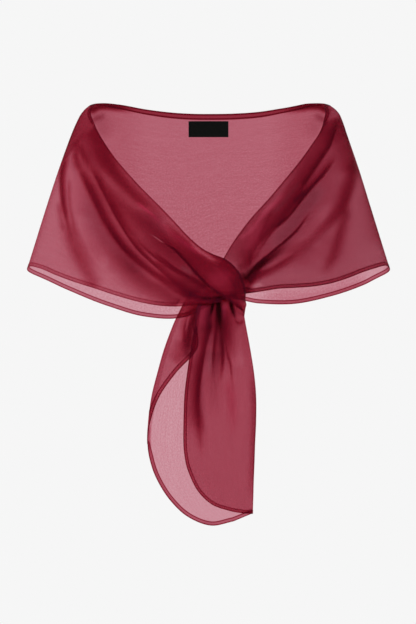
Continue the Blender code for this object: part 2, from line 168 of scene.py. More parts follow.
@dataclass(frozen=True)
class Figure:
    """The general form that the stole is worn on.

    nudge, an angle, and step, a height, are how far apart the places are that show which way is
    out of the form.
    """

    rings: tuple[Ring, ...] = (
        Ring(-310.0, 289.0, 0.0, 131.0, 131.0),
        Ring(-227.0, 263.0, 0.0, 129.0, 128.0),
        Ring(-200.0, 254.5, 0.0, 127.0, 126.0),
        Ring(-142.0, 236.5, 0.0, 120.0, 121.0),
        Ring(-84.0, 218.0, 0.5, 107.0, 114.0),
        Ring(-34.0, 200.5, 1.0, 90.0, 101.0),
        Ring(-12.0, 192.0, 2.0, 77.0, 92.0),
        Ring(0.0, 185.5, 2.5, 67.0, 84.0),
        Ring(10.0, 174.0, 2.0, 54.0, 69.0),
        Ring(13.0, 163.0, 2.0, 46.0, 60.0),
        Ring(16.0, 140.0, 2.0, 36.0, 48.0),
    )
    nudge: float = 0.004
    step: float = 1.0

    def ring(self, height: Array) -> Array:
        """Half width, centre, front depth and back depth at each height."""
        rows = [(r.half_width, r.centre, r.front_depth, r.back_depth) for r in self.rings]
        return flow([r.height for r in self.rings], rows, np.asarray(height, float))

    def angle_at(self, x: Array, height: Array, behind: bool = False) -> Array:
        """The angle round the figure of places seen from the front.

        Args:
            x: Places across, in millimetres.
            height: Their heights.
            behind: Whether they lie on the back.

        Returns:
            Angles from the front, positive towards the wearer's left.
        """
        ring = self.ring(height)
        angle = np.arcsin(np.clip((x - ring[:, 1]) / ring[:, 0], -1.0, 1.0))
        return math.pi - angle if behind else angle

    def form(self, angle: Array, height: Array) -> Array:
        """Find places on the form itself.

        Args:
            angle: Angles round the figure.
            height: Heights.

        Returns:
            One row of x, y and z for each place.
        """
        ring = self.ring(height)
        depth = np.where(np.cos(angle) > 0, ring[:, 2], ring[:, 3])
        return rows_of(ring[:, 1] + ring[:, 0] * np.sin(angle), -depth * np.cos(angle), height)

    def place(self, angle: Array, height: Array, lift: Array) -> Array:
        """Find places that stand off the form, straight out from it.

        Args:
            angle: Angles round the figure.
            height: Heights on the form.
            lift: How far out each place stands.

        Returns:
            One row of x, y and z for each place.
        """
        around = self.form(angle + self.nudge, height) - self.form(angle - self.nudge, height)
        upward = self.form(angle, height + self.step) - self.form(angle, height - self.step)
        out = np.cross(around, upward)
        out /= np.linalg.norm(out, axis=1)[:, None]
        return self.form(angle, height) + out * lift[:, None]


FIGURE = Figure()


@dataclass(frozen=True)
class Crease:
    """A fold or a soft patch, along a smooth line seen from the front.

    left and right are its widths on either side of the line as it is travelled. It swells from
    nothing over the share starts of its length and dies away over the share ends.
    layers_and_shading is how many layers it adds where cloth lies doubled in a fold, and it is
    also painted shade where it darkens a soft patch and a painted highlight where it is negative.
    shade is painted shade, highlight is a painted highlight on its face, and stand is how far it
    stands out, in millimetres.
    """

    line: Points
    left: float
    right: float
    layers_and_shading: float = 0.0
    shade: float = 0.0
    glow: float = 0.0
    stand: float | None = None
    starts: float = 0.25
    ends: float = 0.25
    steps: int = 48

    @property
    def height(self) -> float:
        """How far it stands out: as much as its extra layers lift it, unless stand says."""
        lifted = min(MOST_LIFT, max(LEAST_LIFT, LAYER_LIFT * self.layers_and_shading))
        return lifted if self.stand is None else self.stand

    def weight(self, x: Array, z: Array) -> Array:
        """Work out how much of the crease there is at each place.

        Args:
            x: Places across, as seen from the front.
            z: Their heights.

        Returns:
            Weights, 1 on the line and 0 far from it.
        """
        count = len(self.line)
        share = np.linspace(0.0, 1.0, self.steps + 1)
        path = flow(np.arange(count), np.array(self.line), share * (count - 1))
        leg = path[1:] - path[:-1]
        square = (leg**2).sum(1)
        best = np.full(len(x), np.inf)
        side, along = np.zeros(len(x)), np.zeros(len(x))
        for step in range(self.steps):
            dx, dz = x - path[step, 0], z - path[step, 1]
            t = np.clip((dx * leg[step, 0] + dz * leg[step, 1]) / square[step], 0.0, 1.0)
            away = (dx - t * leg[step, 0])**2 + (dz - t * leg[step, 1])**2
            near = away < best
            best = np.where(near, away, best)
            side = np.where(near, leg[step, 0] * dz - leg[step, 1] * dx, side)
            along = np.where(near, (step + t) / self.steps, along)
        width = np.where(side > 0, self.left, self.right)
        fade = np.ones(len(x))
        if self.starts:
            fade = fade * rise(0.0, self.starts, along)
        if self.ends:
            fade = fade * (1.0 - rise(1.0 - self.ends, 1.0, along))
        return fade * np.exp(-best / width**2)


@dataclass
class Cover:
    """What a sheet's cloth is like at each of its places, before the weave.

    layers_and_shading, shade, highlight and stand are what its creases add up to, painted shade
    and painted highlights among them, and kept is the share of the hem that still shows where the
    cloth is pressed.
    """

    layers_and_shading: Array
    shade: Array
    glow: Array
    stand: Array
    kept: Array

    @classmethod
    def plain(cls, count: int, layers_and_shading: float) -> "Cover":
        """A cover of one density all over."""
        return cls(np.full(count, layers_and_shading), np.zeros(count), np.zeros(count), np.zeros(count),
                   np.ones(count))

    def add(self, creases: tuple[Crease, ...], x: Array, z: Array) -> "Cover":
        """Add creases.

        Args:
            creases: The creases.
            x: Places across, as seen from the front.
            z: Their heights.

        Returns:
            This cover.
        """
        for crease in creases:
            weight = crease.weight(x, z)
            self.layers_and_shading += crease.layers_and_shading * weight
            self.shade += crease.shade * weight
            self.glow += crease.glow * weight
            self.stand += crease.height * weight
        return self

    def at_least(self, least: float) -> "Cover":
        """This cover with no place thinner than the bare cloth."""
        self.layers_and_shading = np.maximum(self.layers_and_shading, least)
        return self

    def thinned(self, share: Array, least: float = PRESSED_LAYERS) -> "Cover":
        """Press this cover thin, as under a band.

        Args:
            share: The share that is lost at each place.
            least: Layers that stay where there were more.

        Returns:
            This cover.
        """
        self.layers_and_shading = np.maximum(self.layers_and_shading * (1.0 - share), np.minimum(self.layers_and_shading, least))
        self.shade *= 1.0 - share
        self.glow *= 1.0 - share
        self.kept *= 1.0 - share
        return self

    def blended(self, other: "Cover", share: Array) -> "Cover":
        """This cover turning into another by a share."""
        return Cover(*(getattr(self, name) * (1 - share) + getattr(other, name) * share
                       for name in Cover.__annotations__))


@dataclass
class Laid:
    """A sheet's vertices once they are laid: places in millimetres, cover, edges and map."""

    places: Array
    cover: Cover
    edge: Array
    hemmed: Array
    cloth_map: Array


@dataclass(frozen=True)
class PressedUnder:
    """An edge of the crossing band, and how far under the band the cloth is pressed from it.

    That cloth lies flat in the knot and hardly shows by itself, so most of its density is left
    to the band. line is the band's edge, and the reaches are the widths on its two sides. The
    whole share is lost where the edge's weight, as a crease's, is over full.
    """

    line: Points
    reach_left: float
    reach_right: float
    share: float = 0.9
    full: float = 0.75

    def at(self, x: Array, z: Array) -> Array:
        """The share of the cloth's density that is lost at each place."""
        edge = Crease(self.line, self.reach_left, self.reach_right, starts=0.0, ends=0.0)
        return self.share * rise(0.0, self.full, edge.weight(x, z))


UNDER_UPPER_EDGE = PressedUnder(((-6, -204), (8, -210), (22, -216), (37, -229), (45, -243),
                                 (50, -258), (51, -273), (46, -290)), 1.0, 60.0)
UNDER_LOWER_EDGE = PressedUnder(((-63, -182), (-44, -200), (-27, -218), (-10, -237),
                                 (6, -252), (21, -263), (33, -271), (44, -278),
                                 (54, -286)), 60.0, 1.0)


def edge_distance(places: Array, line: Array) -> Array:
    """Measure how far places are from a line of points.

    Args:
        places: One row for each place.
        line: One row for each point, in order.

    Returns:
        The distance of each place from the nearest leg of the line.
    """
    best = np.full(len(places), np.inf)
    for start, stop in zip(line[:-1], line[1:]):
        leg = stop - start
        square = max(float(leg @ leg), TINY)
        t = np.clip((places - start) @ leg / square, 0.0, 1.0)
        away = ((places - start - t[:, None] * leg)**2).sum(1)
        best = np.minimum(best, away)
    return np.sqrt(best)


@dataclass
class Hem:
    """The narrow hem along every edge: its width and the rows of mesh that shape it.

    The rows are squeezed where the cloth is less than room times as wide as they are. Where the
    hem's strength is under least, the cloth keeps its own thickness.
    """

    width: float = 6.0
    rows: tuple[float, ...] = (0.0, 0.8, 1.6, 2.8, 4.0, 5.0, 5.8, 6.4, 7.4)
    room: float = 4.0
    thickness: float = 0.95
    least: float = 0.3

    def spread(self, index: Array, count: int, width: Array, near: bool, far: bool) -> Array:
        """Shares across a stretch of cloth for rows of mesh, crowded by its hemmed edges.

        Args:
            index: Which row each vertex is in, from 0 to count.
            count: How many rows of cells there are.
            width: The stretch's width at each vertex, in millimetres.
            near: Whether the first edge is hemmed.
            far: Whether the last edge is hemmed.

        Returns:
            The share of the width at which each vertex lies.
        """
        rows, hold = np.array(self.rows), len(self.rows) - 1
        scale = np.minimum(1.0, width / (self.room * rows[-1]))
        first, last = (hold if near else 0), (count - hold if far else count)
        start = rows[-1] * scale if near else np.zeros(len(width))
        end = width - rows[-1] * scale if far else width
        spot = start + (end - start) * (index - first) / (last - first)
        spot = np.where(index < first, rows[np.clip(index, 0, hold)] * scale, spot)
        spot = np.where(index > last, width - rows[np.clip(count - index, 0, hold)] * scale, spot)
        return spot / width


HEM = Hem()


@dataclass
class Sheet:
    """A stretch of the strip: a grid laid on its form and closed to a thin shell."""

    name: str = ""
    nodes: tuple[str, ...] = ()
    columns: int = 100
    rows: int = 100
    thickness: float = 0.35
    flat: tuple[float, float] = (0.3, 0.3)
    area: float = 0.09
    held: Hold = Hold.DRAPED
    slot: str = "organza"

    def cut(self, bm: bmesh.types.BMesh) -> None:
        """Cut the grid before it is laid."""

    def lay(self, u: Array, v: Array, lip: Array) -> Laid:
        """Lay the grid.

        Args:
            u: Shares along the strip.
            v: Shares across it.
            lip: 0, or for the two lips of a slit -1 and 1.

        Returns:
            The laid sheet.
        """
        raise NotImplementedError

    def build(self, material: bpy.types.Material) -> bpy.types.Object:
        """Make the sheet's object.

        Args:
            material: The material of the cloth.

        Returns:
            The finished object, riding on the stole.
        """
        mesh, laid = self.made()
        mesh.materials.append(material)
        piece = added(self.name, mesh)
        self.thicken(piece, laid)
        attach(piece, "root")
        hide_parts(*self.nodes)
        return piece

    def made(self) -> tuple[bpy.types.Mesh, Laid]:
        """Make the grid, cut it and lay it.

        Returns:
            The mesh, and what it is like at each vertex.
        """
        bm = bmesh.new()
        bmesh.ops.create_grid(bm, x_segments=self.columns, y_segments=self.rows, size=0.5)
        self.cut(bm)
        mesh = bpy.data.meshes.new(self.name)
        bm.to_mesh(mesh)
        bm.free()
        flat = np.empty(len(mesh.vertices) * 3)
        mesh.vertices.foreach_get("co", flat)
        grid = flat.reshape(-1, 3)
        laid = self.lay(grid[:, 0] + 0.5, grid[:, 1] + 0.5, grid[:, 2])
        mesh.vertices.foreach_set("co", (laid.places * MM).ravel())
        self.paint(mesh, laid)
        mesh.shade_smooth()
        return mesh, laid

    def paint(self, mesh: bpy.types.Mesh, laid: Laid) -> None:
        """Keep with each vertex what the material reads there.

        Args:
            mesh: The sheet's mesh.
            laid: The laid sheet.
        """
        for name, values in (("layers_and_shading", laid.cover.layers_and_shading), ("shade", laid.cover.shade),
                             ("glow", laid.cover.glow), ("edge", laid.edge),
                             ("hemmed", laid.hemmed * laid.cover.kept)):
            layer = mesh.attributes.new(name, "FLOAT", "POINT")
            layer.data.foreach_set("value", values.astype(np.float32))
        corners = np.empty(len(mesh.loops), int)
        mesh.loops.foreach_get("vertex_index", corners)
        cloth_map = mesh.uv_layers.new(name="cloth")
        cloth_map.uv.foreach_set("vector", (laid.cloth_map[corners] * MM).ravel())

    def thicken(self, piece: bpy.types.Object, laid: Laid) -> None:
        """Close the sheet to a thin shell that is thicker along its hems.

        Args:
            piece: The sheet's object.
            laid: The laid sheet.
        """
        hem = piece.vertex_groups.new(name="hem")
        inside = (laid.edge < HEM.width) & (laid.hemmed > HEM.least)
        hem.add(np.flatnonzero(inside).tolist(), 1.0, "REPLACE")
        solid = piece.modifiers.new("Thickness", "SOLIDIFY")
        solid.offset = 0.0
        solid.thickness = HEM.thickness * MM
        solid.vertex_group = "hem"
        solid.thickness_vertex_group = self.thickness / HEM.thickness


@dataclass(frozen=True)
class FrontSection:
    """Where the neck edge, the band's lower edge and the hem are, and the lift off the form."""

    neck_x: float
    neck_z: float
    band_x: float
    band_z: float
    hem_x: float
    hem_z: float
    lift: float


@dataclass(frozen=True)
class BackSection:
    """Where the neck edge and the hem of the back are."""

    neck_x: float
    neck_z: float
    hem_x: float
    hem_z: float


@dataclass(frozen=True)
class BandSection:
    """Where the edges of the crossing band are, its lift and the swell between its edges."""

    upper_x: float
    upper_z: float
    lower_x: float
    lower_z: float
    lift: float
    crown: float


@dataclass(frozen=True)
class TailSection:
    """Where the tail's front edge, fold, outline and flap edge are, its middle and its room.

    A row of the table holds numbers. Read at every vertex, it holds arrays.
    """

    front_x: float | Array
    front_z: float | Array
    fold_x: float | Array
    fold_z: float | Array
    left_x: float | Array
    left_z: float | Array
    flap_x: float | Array
    middle: float | Array
    room: float | Array


def side_anchor(side: Side, height: float) -> tuple[float, float]:
    """Angle and height of a place at a side, where the fronts meet the back."""
    return side.value * math.pi / 2, height


def anchors(sections: tuple, x_name: str, z_name: str, behind: bool = False) -> Array:
    """Angles and heights of one edge's places, from the sections of a stretch.

    Args:
        sections: The stretch's sections.
        x_name: The field that holds the place across.
        z_name: The field that holds the height.
        behind: Whether the stretch lies on the back.

    Returns:
        One row of angle and height for each section.
    """
    x = np.array([getattr(section, x_name) for section in sections])
    z = np.array([getattr(section, z_name) for section in sections])
    return rows_of(FIGURE.angle_at(x, z, behind), z)


def on_form(spots: Array, lift: Array) -> Array:
    """Places from rows of angle and height."""
    return FIGURE.place(spots[:, 0], spots[:, 1], lift)


def along_edge(stops: Array, edge: Array, lift: Array, count: int = EDGE_POINTS) -> Array:
    """Find points along an edge of a stretch.

    Args:
        stops: The numbers of the stretch's sections.
        edge: The edge's angle and height at each of them.
        lift: A column of how far the edge stands off the form there.
        count: How many points to find.

    Returns:
        One row of x, y and z for each point.
    """
    at = np.linspace(0.0, 1.0, count) * stops[-1]
    return on_form(flow(stops, edge, at), flow(stops, lift, at)[:, 0])


def at_sides(x: Array, height: Array) -> Array:
    """Find how much places are on the turn of the form at a side.

    Args:
        x: Places across.
        height: Their heights.

    Returns:
        Shares from 0 to 1.
    """
    ring = FIGURE.ring(height)
    across = np.clip(np.abs(x - ring[:, 1]) / ring[:, 0], 0.0, 1.0)
    return np.exp(-(1.0 - across**2) / SIDE_SOFTNESS)


@dataclass
class BackPanel(Sheet):
    """The stretch round the shoulders and back, from the wearer's left side to the right.

    Its depth from neck to hem and its length round the back size the cloth's own map. Painted
    shade makes it denser in its hollow, which fades out over a half width and towards the hem,
    and denser still towards the hollow's flanks. Its lower hem grows stronger over a stretch of x.
    """

    name: str = "back_sheet"
    nodes: tuple[str, ...] = ("back_panel",)
    columns: int = 240
    rows: int = 96
    flat: tuple[float, float] = (0.30, 0.56)
    area: float = 0.16
    depth: float = 290.0
    length: float = 560.0
    crowding: float = 1.5
    base: float = 0.86
    hollow_shade_layers: float = 0.6
    hollow_half_width: tuple[float, float] = (140.0, 225.0)
    hollow_bottom: tuple[float, float] = (-238.0, -196.0)
    flank_shade_layers: float = 0.16
    flank: tuple[float, float] = (80.0, 130.0)
    neck_hem: float = 2.9
    neck_hem_width: float = 9.6
    low_hem: float = 1.5
    low_hem_gain: float = 0.3
    low_hem_growth: tuple[float, float] = (-160.0, -60.0)
    sections: tuple[BackSection, ...] = (
        BackSection(157.0, 13.0, 248.0, -238.5),
        BackSection(138.0, 11.8, 222.0, -251.5),
        BackSection(107.0, 5.8, 176.0, -267.0),
        BackSection(72.0, 0.5, 125.0, -277.5),
        BackSection(38.0, -1.8, 74.0, -277.0),
        BackSection(8.0, -2.4, 24.0, -271.0),
        BackSection(-22.0, -2.2, -36.0, -297.0),
        BackSection(-52.0, -0.5, -92.0, -296.0),
        BackSection(-87.0, 3.6, -145.0, -281.0),
        BackSection(-124.0, 10.3, -205.0, -257.0),
        BackSection(-148.0, 13.0, -243.0, -239.5),
    )
    creases: tuple[Crease, ...] = (
        Crease(((150, -60), (138, -120), (128, -180), (122, -262)), 16, 16, stand=3.0),
        Crease(((-142, -60), (-134, -120), (-126, -180), (-118, -270)), 16, 16, stand=3.0),
        Crease(((10, -120), (4, -170), (-6, -220), (-12, -282)), 18, 18, stand=2.5),
        Crease(((-168, 4), (-159, 8.5), (-146, 9), (-132, 7), (-118, 4.5), (-100, 1)),
               4, 4.5, 2.8, stand=0, starts=0, ends=0.6),
        Crease(((169, 5), (161, 8.5), (148, 9), (134, 6.5), (120, 4), (102, 1)),
               4.5, 4, 2.8, stand=0, starts=0, ends=0.6),
        # Soft dark patches at the neck's corners: painted shade.
        Crease(((-168, -11), (-158, -7), (-146, -2)), 4, 5, 0.5, 0.15, stand=0, starts=0,
               ends=0.5),
        Crease(((168, -11), (161, -7), (150, -1.5)), 5, 4, 0.5, 0.15, stand=0, starts=0,
               ends=0.5),
        Crease(((66, -270), (100, -270), (150, -266), (200, -253), (238, -238)), 16, 18, 0.32,
               stand=0, starts=0.3, ends=0.2),
        # Darkening along the neck edge below the corners: painted shade.
        Crease(((-167, 2), (-162, -12), (-155, -26), (-143, -44)), 18, 10, 0.25, 0.12, stand=0,
               starts=0, ends=0.4),
        Crease(((167, 2), (163, -12), (155, -26), (143, -44)), 10, 18, 0.2, 0.1, stand=0,
               starts=0, ends=0.4),
    )

    def layers(self, x: Array, height: Array) -> Array:
        """Work out how many layers the cloth stands for, with painted shade that makes it denser
        in the hollow.

        Args:
            x: Places across.
            height: Their heights.

        Returns:
            Layers of cloth at each place.
        """
        # The hollow's extra layers are painted shade.
        hollow = ((1 - rise(*self.hollow_half_width, np.abs(x)))
                  * rise(*self.hollow_bottom, height))
        return (self.base + self.hollow_shade_layers * hollow
                + self.flank_shade_layers * hollow * rise(*self.flank, np.abs(x))
                + SIDE_LAYERS * at_sides(x, height))

    def line(self, name: str, side_height: float) -> Array:
        """Find an edge of the back, from side to side.

        Args:
            name: The edge's name, neck or hem.
            side_height: Its height at the sides.

        Returns:
            One row of angle and height for each section.
        """
        whole_turn = np.array((2 * math.pi, 0.0))
        return np.vstack((side_anchor(Side.LEFT, side_height),
                          anchors(self.sections, f"{name}_x", f"{name}_z", True),
                          whole_turn + side_anchor(Side.RIGHT, side_height)))

    def lay(self, u: Array, v: Array, lip: Array) -> Laid:
        """Lay the back on the form, with the fronts' cover where it meets them at the sides.

        Args:
            u: Shares from the wearer's left side to the right.
            v: Shares from the neck to the hem.
            lip: Not used, as the back has no slit.

        Returns:
            The laid sheet.
        """
        neck, hem = self.line("neck", SIDE_NECK), self.line("hem", SIDE_HEM)
        stops = np.arange(len(neck))
        at = u * stops[-1]
        index = np.rint(v * self.rows).astype(int)
        share = HEM.spread(index, self.rows, np.full(len(u), self.depth), True, True)
        spots = mixed(share**self.crowding, flow(stops, neck, at), flow(stops, hem, at))
        seen = on_form(spots, np.zeros(len(u)))
        cover = Cover.plain(len(u), 0.0).add(self.creases, seen[:, 0], seen[:, 2])
        cover.layers_and_shading += self.layers(seen[:, 0], seen[:, 2])
        places = on_form(spots, cover.stand)
        for front in (LeftFront(), RightFront()):
            turn = at_sides(seen[:, 0], seen[:, 2]) * (seen[:, 0] * front.side.value > 0)
            cover = cover.blended(front.painted(seen), turn)
        flat = np.zeros((len(neck), 1))
        neck_edge = edge_distance(places, along_edge(stops, neck, flat))
        hem_edge = edge_distance(places, along_edge(stops, hem, flat))
        low_hem = self.low_hem + self.low_hem_gain * rise(*self.low_hem_growth, seen[:, 0])
        hemmed = np.where(neck_edge < hem_edge, self.neck_hem, low_hem)
        neck_edge *= HEM.width / self.neck_hem_width
        cloth_map = rows_of(u * self.length, share * self.depth)
        return Laid(places, cover, np.minimum(neck_edge, hem_edge), hemmed, cloth_map)


@dataclass
class Front(Sheet):
    """A front, from the side to the knot, with a band along the neckline.

    Its neck hem is narrowed by neck_squeeze below the shoulder and is stronger on it. shoulder
    is the height over which that changes.
    """

    side: Side = Side.LEFT
    sections: tuple[FrontSection, ...] = ()
    creases: tuple[Crease, ...] = ()
    band_share: float = 0.3
    base: float = 0.9
    base_shade: float = 0.0
    length: float = 380.0
    neck_hem: float = 1.3
    neck_squeeze: float = 2.8
    low_hem: float = 0.9
    shoulder: tuple[float, float] = (-40.0, 0.0)
    shoulder_hem: float = 0.6

    def curves(self) -> tuple[Array, Array, Array, Array]:
        """Find the lines of the front at each of its sections.

        Returns:
            Angles and heights of the neck, band and hem, and a column of lifts.
        """
        neck = np.vstack((side_anchor(self.side, SIDE_NECK),
                          anchors(self.sections, "neck_x", "neck_z")))
        band = np.vstack((side_anchor(self.side, SIDE_BAND),
                          anchors(self.sections, "band_x", "band_z")))
        hem = np.vstack((side_anchor(self.side, SIDE_HEM),
                         anchors(self.sections, "hem_x", "hem_z")))
        lift = np.array([0.0] + [section.lift for section in self.sections])[:, None]
        return neck, band, hem, lift

    def band_rows(self) -> int:
        """How many rows of cells the band along the neckline takes."""
        return round(self.rows * self.band_share)

    def parts(self, v: Array) -> tuple[Array, Array]:
        """Row of each vertex, and whether it lies in the band."""
        return (np.rint(v * self.rows).astype(int),
                v < self.band_rows() / self.rows - ROW_SLIP)

    def painted(self, seen: Array) -> Cover:
        """Work out the front's cover.

        Args:
            seen: Places as they are before the creases stand out.

        Returns:
            The cover there.
        """
        cover = Cover.plain(len(seen), self.base).add(self.creases, seen[:, 0], seen[:, 2])
        cover.layers_and_shading += SIDE_LAYERS * at_sides(seen[:, 0], seen[:, 2])
        # base_shade is an even painted shade over the whole front.
        cover.shade += self.base_shade
        return cover.at_least(BARE_LAYERS)

    def lay(self, u: Array, v: Array, lip: Array) -> Laid:
        """Lay the front on the form. Its creases stand out from the first section on.

        Args:
            u: Shares from the side to the knot.
            v: Shares from the neck to the hem.
            lip: Not used, as a plain front has no slit.

        Returns:
            The laid sheet.
        """
        neck, band, hem, lift = self.curves()
        stops = np.arange(len(neck))
        at = u * stops[-1]
        index, upper = self.parts(v)
        lines = [flow(stops, curve, at) for curve in (neck, band, hem)]
        level = flow(stops, lift, at)[:, 0]
        spots, share = self.spread(index, upper, lines, level)
        seen = on_form(spots, level)
        cover = self.painted(seen)
        places = on_form(spots, level + cover.stand * rise(0.0, 1.0, at))
        return self.finished(places, cover, u, share, (neck, hem, lift), stops)

    def spread(self, index: Array, upper: Array, lines: list[Array],
               level: Array) -> tuple[Array, Array]:
        """Where each vertex lies across the strip.

        Args:
            index: The row of each vertex.
            upper: Whether it lies in the band.
            lines: Angles and heights of the neck, band and hem at each vertex.
            level: The lift at each vertex.

        Returns:
            Rows of angle and height, and millimetres from the neck edge.
        """
        count = self.band_rows()
        edges = [on_form(line, level) for line in lines]
        band_width = np.linalg.norm(edges[1] - edges[0], axis=1)
        rest_width = np.linalg.norm(edges[2] - edges[1], axis=1)
        down = HEM.spread(np.clip(index, 0, count), count, band_width, True, False)
        rest = HEM.spread(np.clip(index - count, 0, self.rows - count), self.rows - count,
                          rest_width, False, True)
        spots = np.where(upper[:, None], mixed(down, lines[0], lines[1]),
                         mixed(rest, lines[1], lines[2]))
        across = np.where(upper, down * band_width, band_width + rest * rest_width)
        return spots, across

    def finished(self, places: Array, cover: Cover, u: Array, across: Array,
                 curves: tuple[Array, Array, Array], stops: Array) -> Laid:
        """Add the distance from the hemmed edges and the cloth's own map.

        Args:
            places: Places of the vertices.
            cover: Their cover.
            u: Their shares from the side to the knot.
            across: Their millimetres from the neck edge.
            curves: Angles and heights of the neck and hem, and the lifts, by section.
            stops: The numbers of the sections.

        Returns:
            The laid sheet.
        """
        neck, hem, lift = curves
        neck_edge = edge_distance(places, along_edge(stops, neck, lift))
        hem_edge = edge_distance(places, along_edge(stops, hem, lift))
        shoulder = rise(*self.shoulder, places[:, 2])
        hemmed = np.where(neck_edge < hem_edge, self.neck_hem + self.shoulder_hem * shoulder,
                          self.low_hem)
        neck_edge *= 1.0 + (self.neck_squeeze - 1.0) * (1.0 - shoulder)
        cloth_map = rows_of(u * self.length, across)
        return Laid(places, cover, np.minimum(neck_edge, hem_edge), hemmed, cloth_map)


